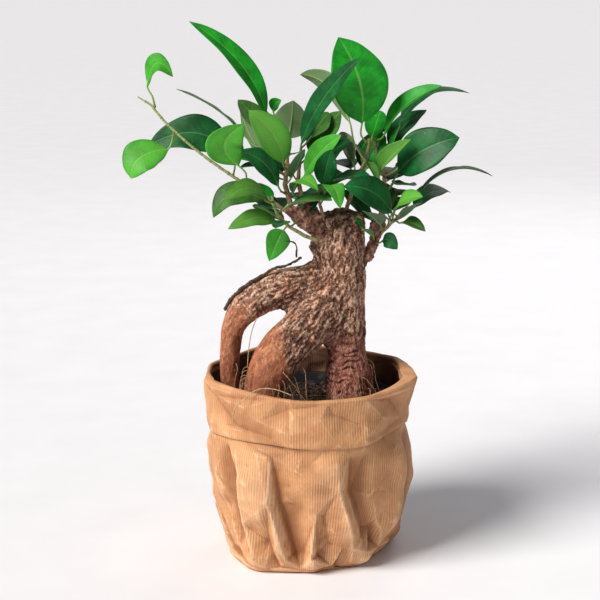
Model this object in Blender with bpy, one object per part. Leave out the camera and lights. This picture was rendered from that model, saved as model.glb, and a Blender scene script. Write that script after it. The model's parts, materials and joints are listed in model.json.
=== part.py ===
"""Ginseng ficus bonsai in a nursery pot that stands in a turned-down kraft paper bag.

Metres, +Z up.  The origin is the centre of the bag's flat base, on the ground.
The thick roots and the trunk are one grown body.  Every leaf is its own node, blade and
stalk together.  Pieces that touch in life keep a gap of about 0.3 mm here.
"""
import math

import bmesh
import bpy
from mathutils import Vector
from mathutils.bvhtree import BVHTree

MM = 0.001

# ---- driving dimensions, metres ----
TREE_HEIGHT = 0.242        # soil to the tip of the highest leaf
BAG_RIM_RADIUS = 0.0655    # outside of the folded rim
BAG_RIM_HEIGHT = 0.119     # ground to the top of the folded rim
CUFF_DROP = 0.031          # rim to the hem of the turned-down cuff
PAPER = 0.0007             # thickness of the kraft paper
POT_BASE_RADIUS = 0.0395   # outside of the nursery pot at its foot
POT_WALL = 0.0012
POT_LIP = 0.0022           # how far the pot's rim stands out of its wall
SOIL_DROP = 0.0065         # pot rim down to the soil
GAP = 0.0003               # clearance between pieces that touch in life
STALK_RADIUS = 0.00055     # leaf stalk
LEAF_THICKNESS = 0.0007    # blade at its midrib

# ---- sizes that follow from them ----
POT_RIM_RADIUS = BAG_RIM_RADIUS - 0.0057
POT_RIM_Z = BAG_RIM_HEIGHT - 0.018
POT_FLOOR_Z = PAPER + GAP
SOIL_TOP = POT_RIM_Z - SOIL_DROP
TREE_SCALE = TREE_HEIGHT / 0.242
ROOT_LEVEL = 94.5          # height in the plant's own points, mm, that lies at the soil surface

# ---- materials: colour, roughness ----
FINISHES = {
    "kraft_paper": ((0.60, 0.33, 0.16), 0.80),
    "pot_plastic": ((0.012, 0.012, 0.013), 0.45),
    "potting_mix": ((0.045, 0.028, 0.018), 0.95),
    "ficus_bark": ((0.30, 0.17, 0.11), 0.85),
    "young_bark": ((0.24, 0.11, 0.07), 0.80),
    "brown_shoot": ((0.30, 0.20, 0.09), 0.60),
    "green_shoot": ((0.25, 0.33, 0.10), 0.50),
    "leaf_bright": ((0.045, 0.32, 0.03), 0.38),
    "leaf_deep": ((0.010, 0.10, 0.035), 0.35),
    "leaf_olive": ((0.07, 0.20, 0.035), 0.42),
    "dead_root": ((0.05, 0.03, 0.02), 0.90),
    "root_fibre": ((0.42, 0.30, 0.16), 0.80),
}

# ---- trunk and roots: (x, y, height, radius) in mm along each limb ----
TRUNK_LIMBS = (
    ((21.5, 4, 218, 12.6), (21.5, 4, 211, 13.4), (21.3, 4, 203, 14.4), (20, 4, 190, 16.2),
     (18.5, 3, 174, 17.2), (19, 2, 158, 17.4), (22, 0, 145, 14.6), (24, -2, 131, 12.2),
     (25.5, -3, 117, 14.6), (26.5, -3, 103, 15.6), (27, -3, 90, 14.2), (27, -2, 76, 9)),
    ((14, -4, 163, 13), (5, -9, 154, 14), (-5, -13, 145.5, 14.6), (-15.5, -15.5, 135.5, 14.8),
     (-23, -18, 123, 14.3), (-27.5, -19, 108, 13.4), (-29, -19, 94, 12), (-29, -18, 80, 8)),
    ((12, 3, 176, 13), (-2, 2, 173.5, 12.4), (-17.5, 0, 170.5, 11.8), (-30.5, -1, 165.5, 11.0),
     (-40.5, -2, 157.5, 9.4), (-46.5, -2, 147, 7.9), (-48.5, -2, 135, 7.2), (-49.5, -2, 120, 6.7),
     (-49.2, -2, 105, 6.0), (-48.5, -2, 92, 5.6), (-47, -2, 79, 4.4)),
    ((22, 8, 160, 11), (27, 16, 138, 9), (31, 24, 118, 8), (33, 29, 100, 7.5), (34, 31, 82, 5)),
    ((12, -1, 198, 7), (4, -3, 199, 5), (2, -3, 195, 4)),
)

# ---- graft stubs: limbs as above ----
LEFT_STUB_LIMBS = (
    ((12, 0, 206, 7.2), (4, -3, 211.5, 6.6), (-4, -5, 217, 5.6), (-13, -6, 222.5, 3.4)),
    ((5, -3, 212, 6.4), (1.5, -3, 219, 5.8), (0, -3, 224.5, 4.8)),
)
RIGHT_STUB_LIMBS = (
    ((31, 2, 183, 3.6), (37.5, 2, 191, 3.5), (41.5, 2, 201, 3.2), (43, 2, 209, 4.5),
     (43.5, 2, 215.5, 4.8)),
)

# ---- shoots: material, then (x, y, height, radius) in mm from the root end to the tip ----
SHOOTS = {
    "long_shoot": ("green_shoot", (
        (-14, -6, 221, 1.3), (-20, -6, 225.5, 1.2), (-28, -8, 232, 1.1), (-40, -10, 239, 1.05),
        (-65, -12, 257, 0.95), (-86, -12, 276, 0.85), (-94, -12, 286, 0.8), (-102, -12, 291, 0.45))),
    "shoot_left_front": ("brown_shoot", (
        (-9, -5, 218, 1.8), (-11, -5, 226, 1.7), (-14, -6, 237, 1.6), (-12.5, -5, 249, 1.4),
        (-14, -3, 258, 1.2), (-18, -2, 266, 1.0), (-23, -2, 276, 0.6))),
    "shoot_left_rear": ("brown_shoot", (
        (-1, -2, 223, 1.6), (-4, 0, 230, 1.5), (-6, 4, 238, 1.4), (-5, 8, 248, 1.2),
        (-4, 8, 258, 0.8))),
    "shoot_low_left": ("green_shoot", (
        (6, -10, 203, 1.4), (-2, -12, 206.5, 1.3), (-11, -13, 212, 1.2), (-19, -13, 221, 1.1),
        (-22, -13, 231, 0.7))),
    "twig_trunk_top": ("brown_shoot", (
        (9, -3, 208, 1.3), (8, -6, 218, 1.2), (7, -7, 226, 1.0), (7, -7, 235, 0.6))),
    "shoot_centre": ("brown_shoot", (
        (22, 2, 215, 1.6), (24, 2.5, 221, 1.5), (26.5, 4, 228, 1.4), (30, 4, 239, 1.3),
        (36, 3, 252, 1.2), (37.5, 2, 264, 0.9))),
    "shoot_right": ("brown_shoot", (
        (44, 2, 213, 1.6), (46, 3, 221, 1.5), (48, 7, 230, 1.4), (47.5, 11, 240, 1.3),
        (44, 13, 250, 1.1), (41, 13, 264, 0.7))),
    "shoot_low_right": ("green_shoot", (
        (43, 1, 204, 1.2), (48, -1, 208.5, 1.1), (52, -4, 213.5, 1.0), (57, -8, 220, 0.7))),
}

# ---- leaves: shoot, height of the stalk's foot, blade base, mid, tip (mm), width, side the
#      upper face looks to, fold (rise of the margins over half the width), finish ----
LEAVES = {
    "leaf_long_tip": ("long_shoot", 285, (-96, -13, 297), (-90, -15, 311), (-80, -17, 303),
                      12, (-0.5, -1, 0.5), 0.35, "leaf_bright"),
    "leaf_long_end": ("long_shoot", 270, (-84, -16, 260), (-101, -20, 255), (-106, -22, 243),
                      23, (-0.5, -1, 0.35), 0.15, "leaf_bright"),
    "leaf_long_mid": ("long_shoot", 243, (-47, -2, 254), (-69, 0, 268), (-99, 4, 259),
                      23, (0, -0.9, 0.45), 0.2, "leaf_deep"),
    "leaf_round_left": ("long_shoot", 238, (-42, -15, 250), (-50, -20, 263), (-38, -23, 276),
                        23, (0.15, -1, 0.1), 0.15, "leaf_bright"),
    "leaf_thin_left": ("shoot_left_front", 257, (-42, 12, 268), (-58, 24, 281), (-83, 34, 292),
                       16, (0.25, 0.3, 1), 0.1, "leaf_deep"),
    "leaf_grey_left": ("shoot_left_front", 243, (-25, 3, 251), (-36, 14, 266), (-42, 24, 283),
                       17, (0.6, 0.8, 0.5), 0.2, "leaf_olive"),
    "leaf_bright_front": ("shoot_left_front", 247, (-15, -12, 251), (-21, -25, 270), (-35, -33, 285),
                          19, (-0.1, -1, 0.25), 0.12, "leaf_bright"),
    "leaf_high_left": ("shoot_left_front", 267, (-25, -5, 279), (-41, -3, 310), (-72, 4, 335),
                       14, (0.35, -0.75, 0.5), 0.4, "leaf_bright"),
    "leaf_bud_left": ("shoot_left_front", 274, (-21, 0, 281), (-20, 0, 286), (-16, -2, 288),
                      7, (0, -1, 0.4), 0.4, "leaf_bright"),
    "leaf_grey_mid": ("shoot_left_front", 258, (-12, 4, 264), (-10, 12, 275), (-9, 20, 286),
                      22, (0, 1, 0.4), 0.2, "leaf_olive"),
    "leaf_long_centre": ("shoot_left_rear", 250, (-4, 2, 261), (9, -9, 289), (31, -20, 315),
                         14, (-0.5, -0.8, 0.25), 0.3, "leaf_deep"),
    "leaf_tall": ("shoot_centre", 262, (33, 0, 274), (31, -4, 300), (18, -6, 326),
                  34, (-0.05, -1, 0.1), 0.14, "leaf_bright"),
    "leaf_grey_high": ("shoot_centre", 251, (26, 15, 273), (13, 26, 294), (-5, 33, 301),
                       16, (0.4, 0.9, 0.5), 0.3, "leaf_olive"),
    "leaf_fold_right": ("shoot_right", 262, (47, 7, 266), (60, 1, 285), (81, -4, 297),
                        13, (-0.6, -0.5, 0.6), 0.6, "leaf_bright"),
    "leaf_rear_right": ("shoot_right", 249, (52, 22, 256), (61, 32, 269), (76, 43, 278),
                        16, (-0.4, -0.6, 0.7), 0.25, "leaf_deep"),
    "leaf_far_right": ("shoot_right", 255, (58, 27, 271), (76, 38, 288), (104, 48, 288),
                       14, (-0.2, -0.3, 1), 0.3, "leaf_deep"),
    "leaf_narrow_right": ("shoot_right", 240, (44, 1, 243), (49, -9, 253), (62, -15, 266),
                          12, (-0.6, -0.6, 0.4), 0.7, "leaf_olive"),
    "leaf_gloss_right": ("shoot_right", 230, (55, -4, 244), (70, -12, 259), (91, -16, 267),
                         27, (-0.25, -0.9, 0.45), 0.16, "leaf_deep"),
    "leaf_thin_right": ("shoot_low_right", 217, (68, 4, 230), (90, 12, 244), (116, 16, 239),
                        13, (-0.25, 0.1, 1), 0.2, "leaf_deep"),
    "leaf_light_right": ("shoot_low_right", 218, (53, -15, 223), (58, -27, 231), (68, -35, 234),
                         14, (-0.4, -0.5, 0.8), 0.25, "leaf_bright"),
    "leaf_dusk_right": ("shoot_low_right", 214, (66, 6, 221), (78, 18, 229), (91, 29, 227),
                        16, (-0.3, -0.6, 0.8), 0.2, "leaf_deep"),
    "leaf_low_right": ("shoot_low_right", 216, (58, -13, 215), (63, -18, 215), (71, -23, 211),
                       9, (-0.1, -0.6, 0.9), 0.5, "leaf_olive"),
    "leaf_round_low": ("right_stub", 201, (46, -5, 202), (50, -9, 203), (55, -12, 198),
                       10, (0.05, -1, 0.1), 0.1, "leaf_deep"),
    "leaf_back_right": ("shoot_right", 239, (51, 22, 236), (58, 38, 240), (63, 60, 236),
                        23, (0, -0.1, 1), 0.15, "leaf_deep"),
    "leaf_back_low": ("shoot_right", 228, (50, 17, 226), (57, 34, 228), (58, 54, 224),
                      20, (0.2, 0.1, 1), 0.15, "leaf_olive"),
    "leaf_front_right": ("shoot_low_right", 212, (51, -14, 221), (38, -28, 236), (21, -33, 240),
                         19, (-0.1, -0.85, 0.5), 0.12, "leaf_deep"),
    "leaf_strip_centre": ("shoot_centre", 251, (36, -4, 251), (38, -10, 248), (43, -16, 239),
                          8, (0.6, -0.8, 0.2), 0.6, "leaf_olive"),
    "leaf_upright_mid": ("shoot_left_rear", 237, (-2, -1, 242), (7, -11, 257), (20, -19, 269),
                         14, (-0.6, -0.8, 0.2), 0.25, "leaf_bright"),
    "leaf_dark_mid": ("twig_trunk_top", 232, (9, -11, 237), (11, -17, 249), (14, -24, 261),
                      14, (-0.1, -1, 0.3), 0.15, "leaf_deep"),
    "leaf_grey_centre": ("shoot_centre", 240, (29, 11, 246), (24, 21, 257), (19, 32, 263),
                         17, (0.3, 0.8, 0.5), 0.2, "leaf_olive"),
    "leaf_dark_front": ("shoot_left_front", 233, (-18, -12, 237), (-27, -17, 252), (-40, -22, 259),
                        13, (0.3, -0.9, 0.3), 0.2, "leaf_deep"),
    "leaf_back_left": ("shoot_left_front", 240, (-19, 7, 241), (-25, 26, 248), (-35, 50, 249),
                       22, (0, 0, 1), 0.15, "leaf_deep"),
    "leaf_olive_left": ("shoot_low_left", 228, (-24, -18, 229), (-35, -26, 238), (-50, -37, 232),
                        15, (-0.1, -0.7, 0.75), 0.12, "leaf_olive"),
    "leaf_low_left": ("long_shoot", 226, (-27, -5, 228), (-47, -7, 231), (-58, -9, 217),
                      17, (-0.4, -0.8, 0.5), 0.15, "leaf_olive"),
    "leaf_light_left": ("shoot_low_left", 217, (-19, -18, 216), (-31, -26, 220), (-48, -32, 214),
                        13, (-0.1, -0.75, 0.65), 0.15, "leaf_olive"),
    "leaf_hanging": ("shoot_low_left", 213, (-15, -7, 209), (-18, -4, 203), (-24, -4, 189),
                     15, (-0.15, -1, 0), 0.3, "leaf_bright"),
    "leaf_rear_low": ("shoot_left_rear", 232, (-9, 13, 226), (-8, 32, 226), (-4, 52, 217),
                      19, (0, 0.3, 1), 0.15, "leaf_deep"),
    "leaf_front_light": ("shoot_left_rear", 229, (-9, -12, 233), (-4, -26, 243), (6, -36, 238),
                         12, (0, -0.6, 0.9), 0.2, "leaf_bright"),
    "leaf_droop_mid": ("twig_trunk_top", 226, (10, -14, 233), (15, -27, 239), (19, -36, 227),
                       13, (0.35, -0.9, 0.5), 0.2, "leaf_bright"),
    "leaf_olive_mid": ("twig_trunk_top", 230, (12, 1, 235), (19, 13, 241), (27, 27, 236),
                       17, (0, -0.6, 0.9), 0.15, "leaf_olive"),
    "leaf_low_front": ("right_stub", 203, (40, -7, 206), (34, -14, 211), (28, -18, 219),
                       8, (-0.5, -0.5, 0.7), 0.5, "leaf_bright"),
}

# ---- dry root and fibres: (x, y, height) in mm ----
DEAD_ROOT = ((-55, -6, 160), (-53, -6, 164), (-46, -6, 172), (-34, -5, 179), (-22, -5, 184),
             (-12, -5, 187), (-4, -7, 192))
DRY_TWIG = ((-7, -9, 192.5), (-7, -9, 199.5), (-9, -9, 202), (-13.5, -9, 202.5))
HANGING_FIBRE = ((-31.5, -13, 155), (-34, -14, 149), (-36, -14, 140), (-37, -14, 131),
                 (-37.5, -14, 124))
RIM_FIBRE = ((-45, -52.5, 100), (-44, -55, 109), (-38, -57, 116), (-30, -57.5, 122),
             (-20, -59, 122.6), (-10, -61, 119.5))

# ---- bag: corners of the base, mm, and how far the wall has opened out at each height ----
BASE_CORNERS = ((-46, -22), (-34, -43), (2, -45), (31, -33), (48, -8), (53, 14), (40, 40),
                (8, 49), (-30, 43), (-51, 14))
WALL_OPENING = ((0.0, 0.0), (0.06, 0.20), (0.14, 0.38), (0.30, 0.60), (0.50, 0.80),
                (0.70, 0.94), (0.85, 1.0), (1.0, 1.0))
WALL_LEVELS = (0.045, 0.10, 0.17, 0.25, 0.34, 0.43, 0.52, 0.61, 0.70, 0.78, 0.855, 0.915)
BAG_COLUMNS = 46
CRUMPLE = 0.0026           # depth of the crumples in the wall
RIGHT_BULGE = 0.0075
ROLL_ANGLE = -8            # degrees: where the cuff is rolled broad
ROLL_WIDTH = 48            # degrees

# folds pressed into the wall: from (degrees, level) to (degrees, level), half width in
# degrees, height in mm (below zero for a valley)
FOLDS = (
    (-79, 0.74, -47, 0.02, 9, 3.4), (-125, 0.54, -106, 0.05, 7, 3.0), (-166, 0.76, -160, 0.45, 9, -2.6),
    (-160, 0.45, -141, 0.18, 9, -2.6), (-128, 0.73, -146, 0.54, 8, 2.4), (-93, 0.32, -84, 0.04, 6, 2.6),
    (-104, 0.60, -90, 0.30, 7, -2.2), (-43, 0.74, -45, 0.34, 9, -2.6), (-27, 0.74, -24, 0.38, 8, 2.6),
    (-38, 0.30, -4, 0.12, 8, 4.0), (-58, 0.20, -22, 0.06, 6, -2.4), (-140, 0.30, -122, 0.04, 7, 2.4),
    (14, 0.70, 34, 0.28, 8, 2.6), (40, 0.72, 52, 0.12, 9, -2.6), (66, 0.68, 74, 0.10, 8, 3.0),
    (96, 0.74, 88, 0.30, 8, -2.4), (118, 0.60, 132, 0.10, 8, 2.8), (150, 0.72, 146, 0.24, 9, -2.4),
    (172, 0.66, -176, 0.12, 8, 2.8),
)


# ---------------------------------------------------------------- helpers

def clear_scene():
    for item in list(bpy.data.objects):
        bpy.data.objects.remove(item)


def finish(name):
    found = bpy.data.materials.get(name)
    if found is not None:
        return found
    colour, roughness = FINISHES[name]
    material = bpy.data.materials.new(name)
    material.use_nodes = True
    shader = material.node_tree.nodes["Principled BSDF"]
    shader.inputs["Base Color"].default_value = (*colour, 1.0)
    shader.inputs["Roughness"].default_value = roughness
    shader.inputs["Metallic"].default_value = 0.0
    return material


def body(name, points, faces, finish_name, smooth=True):
    mesh = bpy.data.meshes.new(name)
    mesh.from_pydata([tuple(p) for p in points], [], faces)
    mesh.update()
    item = bpy.data.objects.new(name, mesh)
    bpy.context.collection.objects.link(item)
    mesh.materials.append(finish(finish_name))
    tidy_normals(mesh)
    for face in mesh.polygons:
        face.use_smooth = smooth
    return item


def tidy_normals(mesh):
    work = bmesh.new()
    work.from_mesh(mesh)
    bmesh.ops.recalc_face_normals(work, faces=work.faces)
    work.to_mesh(mesh)
    work.free()


def bake(item):
    """Replace an object's mesh by the result of its modifiers."""
    bpy.context.view_layer.update()
    graph = bpy.context.evaluated_depsgraph_get()
    mesh = bpy.data.meshes.new_from_object(item.evaluated_get(graph))
    item.modifiers.clear()
    item.data = mesh
    for face in mesh.polygons:
        face.use_smooth = True


def inflated(item, distance):
    """A copy of a baked object, pushed out along its normals, to cut clearance with."""
    copy = item.copy()
    copy.data = item.data.copy()
    copy.name = item.name + "_clearance"
    bpy.context.collection.objects.link(copy)
    shifts = [v.normal * distance for v in copy.data.vertices]
    for vertex, shift in zip(copy.data.vertices, shifts):
        vertex.co += shift
    return copy


def cut(item, cutters):
    for cutter in cutters:
        modifier = item.modifiers.new("clearance", "BOOLEAN")
        modifier.operation = "DIFFERENCE"
        modifier.solver = "EXACT"
        modifier.object = cutter
    bake(item)


def largest_part(item):
    """Drop crumbs that a cut has left beside the main body."""
    work = bmesh.new()
    work.from_mesh(item.data)
    left = set(work.verts)
    groups = []
    while left:
        seed = left.pop()
        group = [seed]
        queue = [seed]
        while queue:
            vertex = queue.pop()
            for edge in vertex.link_edges:
                other = edge.other_vert(vertex)
                if other in left:
                    left.remove(other)
                    group.append(other)
                    queue.append(other)
        groups.append(group)
    groups.sort(key=spread, reverse=True)
    for group in groups[1:]:
        bmesh.ops.delete(work, geom=group, context="VERTS")
    work.to_mesh(item.data)
    work.free()


def spread(group):
    size = 0.0
    for axis in range(3):
        values = [v.co[axis] for v in group]
        size += max(values) - min(values)
    return size


def surface_of(item):
    points = [v.co.copy() for v in item.data.vertices]
    faces = [tuple(f.vertices) for f in item.data.polygons]
    return BVHTree.FromPolygons(points, faces)


def clear_of(point, surface, distance):
    """Move a point out of a surface until it is at least the distance away."""
    near, normal, _, far = surface.find_nearest(point)
    side = (point - near).dot(normal)
    if side > 0 and far >= distance:
        return point
    return near + normal * distance


def plant(point):
    """A point of the plant, mm, to its place above the soil, metres."""
    x, y, z = point[:3]
    place = Vector((x, y, z - ROOT_LEVEL)) * (MM * TREE_SCALE)
    return place + Vector((0, 0, SOIL_TOP))


def smooth_path(points, radii, step):
    """Points and radii along a Catmull-Rom curve through the given points."""
    out = []
    thick = []
    last = len(points) - 1
    for i in range(last):
        p0 = points[max(i - 1, 0)]
        p1 = points[i]
        p2 = points[i + 1]
        p3 = points[min(i + 2, last)]
        count = max(1, round((p2 - p1).length / step))
        for k in range(count):
            t = k / count
            out.append(catmull(p0, p1, p2, p3, t))
            thick.append(radii[i] + (radii[i + 1] - radii[i]) * t)
    out.append(points[-1])
    thick.append(radii[-1])
    return out, thick


def catmull(p0, p1, p2, p3, t):
    a = p1 * 2
    b = (p2 - p0) * t
    c = (p0 * 2 - p1 * 5 + p2 * 4 - p3) * t * t
    d = (p1 * 3 - p0 - p2 * 3 + p3) * t * t * t
    return (a + b + c + d) * 0.5


def ring_frame(points, i, side):
    """Tangent and two cross directions at a point of a path, carried on from the last side."""
    before = points[max(i - 1, 0)]
    after = points[min(i + 1, len(points) - 1)]
    tangent = (after - before).normalized()
    side = (side - tangent * side.dot(tangent)).normalized()
    return tangent, side, tangent.cross(side)


def tube(points, radii, sides, first=0, cap=0.5):
    """Vertices and faces of a closed tube with a pointed cap at each end."""
    tangent = (points[1] - points[0]).normalized()
    side = tangent.orthogonal().normalized()
    verts = [points[0] - tangent * radii[0] * cap]
    for i in range(len(points)):
        tangent, side, up = ring_frame(points, i, side)
        for k in range(sides):
            angle = 2 * math.pi * k / sides
            spoke = side * math.cos(angle) + up * math.sin(angle)
            verts.append(points[i] + spoke * radii[i])
    verts.append(points[-1] + tangent * radii[-1] * cap)
    return verts, tube_faces(len(points), sides, first)


def tube_faces(rings, sides, first):
    faces = []
    base = first + 1
    end = first + rings * sides + 1
    for k in range(sides):
        j = (k + 1) % sides
        faces.append((first, base + j, base + k))
        tail = base + (rings - 1) * sides
        faces.append((tail + k, tail + j, end))
    for i in range(rings - 1):
        for k in range(sides):
            j = (k + 1) % sides
            a = base + i * sides
            b = a + sides
            faces.append((a + k, a + j, b + j, b + k))
    return faces


def hashed(i, j):
    """A fixed scatter value from -1 to 1."""
    value = math.sin(i * 127.1 + j * 311.7) * 43758.5453
    return 2 * (value - math.floor(value)) - 1


def bump(value, centre, width):
    """1 at the centre falling to 0 at the width."""
    share = abs(value - centre) / width
    if share >= 1:
        return 0.0
    return 0.5 + 0.5 * math.cos(math.pi * share)


def around(angle, centre):
    """Signed difference of two angles in degrees."""
    return (angle - centre + 180) % 360 - 180


# ---------------------------------------------------------------- paper bag

def base_radius(angle):
    """Distance from the axis to the outline of the bag's base in one direction, metres."""
    direction = Vector((math.cos(angle), math.sin(angle)))
    reach = 0.0
    count = len(BASE_CORNERS)
    for i in range(count):
        a = Vector(BASE_CORNERS[i])
        b = Vector(BASE_CORNERS[(i + 1) % count])
        edge = b - a
        cross = direction.x * edge.y - direction.y * edge.x
        if abs(cross) < 1e-9:
            continue
        along = (a.x * edge.y - a.y * edge.x) / cross
        share = (a.x * direction.y - a.y * direction.x) / cross
        if along > 0 and -1e-6 <= share <= 1 + 1e-6:
            reach = max(reach, along)
    return reach * MM * BAG_RIM_RADIUS / 0.0655


def opening(level):
    for (z0, v0), (z1, v1) in zip(WALL_OPENING, WALL_OPENING[1:]):
        if level <= z1:
            return v0 + (v1 - v0) * (level - z0) / (z1 - z0)
    return 1.0


def crumple(degrees, level):
    """Height of the crumpled facets over the plain wall."""
    column = degrees / 360 * 22 + level * 3
    row = level * 9
    i = math.floor(column)
    j = math.floor(row)
    u = column - i
    v = row - j
    near = hashed(i % 22, j) * (1 - u) + hashed((i + 1) % 22, j) * u
    far = hashed(i % 22, j + 1) * (1 - u) + hashed((i + 1) % 22, j + 1) * u
    return (near * (1 - v) + far * v) * CRUMPLE


def folds(degrees, level):
    """Height of the pressed folds over the plain wall."""
    total = 0.0
    for from_angle, from_level, to_angle, to_level, width, height in FOLDS:
        share = (from_level - level) / (from_level - to_level)
        if not -0.15 < share < 1.15:
            continue
        inside = min(max(share, 0.0), 1.0)
        centre = from_angle + around(to_angle, from_angle) * inside
        off = abs(around(degrees, centre)) / width
        fade = 1 - max(-share, share - 1, 0.0) / 0.15
        total += height * MM * max(0.0, 1 - off) * fade
    return total


def right_bulge(level):
    """The right side of the bag stands upright where the rest narrows to the base."""
    if level < 0.40:
        return min(level / 0.07, 1.0)
    return bump(level, 0.40, 0.36)


def pot_keepout(z):
    """Outside of the pot at a height, with its lip spread to the wall levels beside it."""
    share = min(max((z - POT_FLOOR_Z) / (POT_RIM_Z - POT_FLOOR_Z), 0.0), 1.0)
    plain = POT_BASE_RADIUS + (POT_RIM_RADIUS - POT_LIP - POT_BASE_RADIUS) * share
    if POT_RIM_Z - 0.018 < z < POT_RIM_Z + 0.010:
        return POT_RIM_RADIUS
    if z > POT_RIM_Z:
        return 0.0
    return plain


def wall_inside(degrees, level):
    """Inner radius of the bag's wall."""
    z = level * BAG_RIM_HEIGHT
    top = BAG_RIM_RADIUS - 0.0037
    radius = base_radius(math.radians(degrees))
    radius += (top - radius) * opening(level)
    calm = bump(level, 0.0, 0.12) + bump(level, 1.0, 0.28)
    radius += crumple(degrees, level) * (1 - min(calm, 1.0) * 0.8)
    radius += folds(degrees, level)
    radius += 0.0020 * bump(level, 0.50, 0.30)
    radius += RIGHT_BULGE * bump(around(degrees, 4), 0, 62) * right_bulge(level)
    roll = bump(around(degrees, ROLL_ANGLE), 0, ROLL_WIDTH)
    if z > POT_RIM_Z:
        radius -= roll * 0.0045 * (z - POT_RIM_Z) / (BAG_RIM_HEIGHT - POT_RIM_Z)
    hem = hem_height(degrees)
    if z > hem - 0.009:
        share = min(max((rim_height(degrees) - z) / (rim_height(degrees) - hem), 0.0), 1.0)
        radius = min(radius, cuff_outside(degrees, share) - 2 * PAPER - 0.0005)
    return max(radius, pot_keepout(z) + 0.0006)


def rim_height(degrees):
    turn = math.radians(degrees)
    wave = 0.0007 * math.sin(2 * turn + 0.6) + 0.0006 * math.sin(3 * turn + 2.0)
    return BAG_RIM_HEIGHT + wave - 0.0013 * bump(around(degrees, -97), 0, 26)


def hem_height(degrees):
    turn = math.radians(degrees)
    drop = CUFF_DROP + 0.0022 * max(0.0, -math.sin(turn + 0.15)) - 0.001
    return BAG_RIM_HEIGHT - drop - 0.001 * math.sin(4 * turn)


def cuff_outside(degrees, share):
    """Outer radius of the cuff, share 0 at the rim to 1 at the hem."""
    roll = bump(around(degrees, ROLL_ANGLE), 0, ROLL_WIDTH)
    radius = BAG_RIM_RADIUS + (0.0004 + 0.0026 * roll) * (1 - share) - 0.0008 * share
    dent = crumple(degrees + 37, 0.3 + share * 0.5) * 0.32
    return radius + dent


def bag_column(degrees):
    """(radius, height) of the paper's section, from the inner floor edge round to the outer."""
    rim = rim_height(degrees)
    hem = hem_height(degrees)
    stretch = rim / BAG_RIM_HEIGHT
    inner = [(base_radius(math.radians(degrees)) - PAPER, PAPER)]
    outer = [(base_radius(math.radians(degrees)), 0.0)]
    inner[0] = (max(inner[0][0], POT_BASE_RADIUS + 0.0006), PAPER)
    outer[0] = (inner[0][0] + PAPER, 0.0)
    for level in WALL_LEVELS:
        radius = wall_inside(degrees, level)
        z = level * BAG_RIM_HEIGHT * stretch
        inner.append((radius, z))
        outer.append((radius + PAPER, z))
    lip = wall_inside(degrees, 0.965)
    crown = cuff_outside(degrees, 0.0)
    inner.append((lip, rim - 0.0032))
    outer.append((lip + PAPER + 0.0002, rim - 0.0013))
    fold = [(lip + 0.0005, rim - 0.0010), (lip + 0.0014, rim - 0.0001)]
    fold.append((crown - 0.0013, rim - 0.0002))
    fold.append((crown - 0.0003, rim - 0.0013))
    for share in (0.14, 0.36, 0.60, 0.82):
        fold.append((cuff_outside(degrees, share), rim + (hem - rim) * share))
    edge = cuff_outside(degrees, 1.0)
    fold.append((edge, hem))
    fold.append((edge - PAPER, hem))
    for share in (0.82, 0.60, 0.36, 0.14):
        fold.append((cuff_outside(degrees, share) - PAPER, rim + (hem - rim) * share))
    fold.append((crown - PAPER - 0.0003, rim - 0.0014))
    return inner + fold + outer[::-1]


def build_bag():
    columns = [bag_column(360 * i / BAG_COLUMNS) for i in range(BAG_COLUMNS)]
    rows = len(columns[0])
    points = [Vector((0, 0, PAPER)), Vector((0, 0, 0))]
    for i, column in enumerate(columns):
        angle = 2 * math.pi * i / BAG_COLUMNS
        for radius, z in column:
            points.append(Vector((radius * math.cos(angle), radius * math.sin(angle), z)))
    faces = []
    for i in range(BAG_COLUMNS):
        a = 2 + i * rows
        b = 2 + ((i + 1) % BAG_COLUMNS) * rows
        faces.append((0, a, b))
        faces.append((1, b + rows - 1, a + rows - 1))
        for k in range(rows - 1):
            # both skins of the sheet are split along the same diagonal, so they stay parallel
            if points[a + k + 1].z > points[a + k].z:
                faces.append((a + k, a + k + 1, b + k + 1))
                faces.append((a + k, b + k + 1, b + k))
            else:
                faces.append((a + k, a + k + 1, b + k))
                faces.append((a + k + 1, b + k + 1, b + k))
    body("paper_bag", points, faces, "kraft_paper", smooth=False)


# ---------------------------------------------------------------- pot and soil

def pot_outside(z):
    share = (z - POT_FLOOR_Z) / (POT_RIM_Z - POT_FLOOR_Z)
    return POT_BASE_RADIUS + (POT_RIM_RADIUS - POT_LIP - POT_BASE_RADIUS) * share


def turned(name, profile, segments, finish_name):
    """A closed body turned about the axis from a profile that starts and ends on it."""
    points = [Vector((0, 0, profile[0][1])), Vector((0, 0, profile[-1][1]))]
    inner = profile[1:-1]
    rows = len(inner)
    for i in range(segments):
        angle = 2 * math.pi * i / segments
        for radius, z in inner:
            points.append(Vector((radius * math.cos(angle), radius * math.sin(angle), z)))
    faces = []
    for i in range(segments):
        a = 2 + i * rows
        b = 2 + ((i + 1) % segments) * rows
        faces.append((0, a, b))
        faces.append((1, b + rows - 1, a + rows - 1))
        for k in range(rows - 1):
            faces.append((a + k, a + k + 1, b + k + 1, b + k))
    return body(name, points, faces, finish_name)


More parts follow.
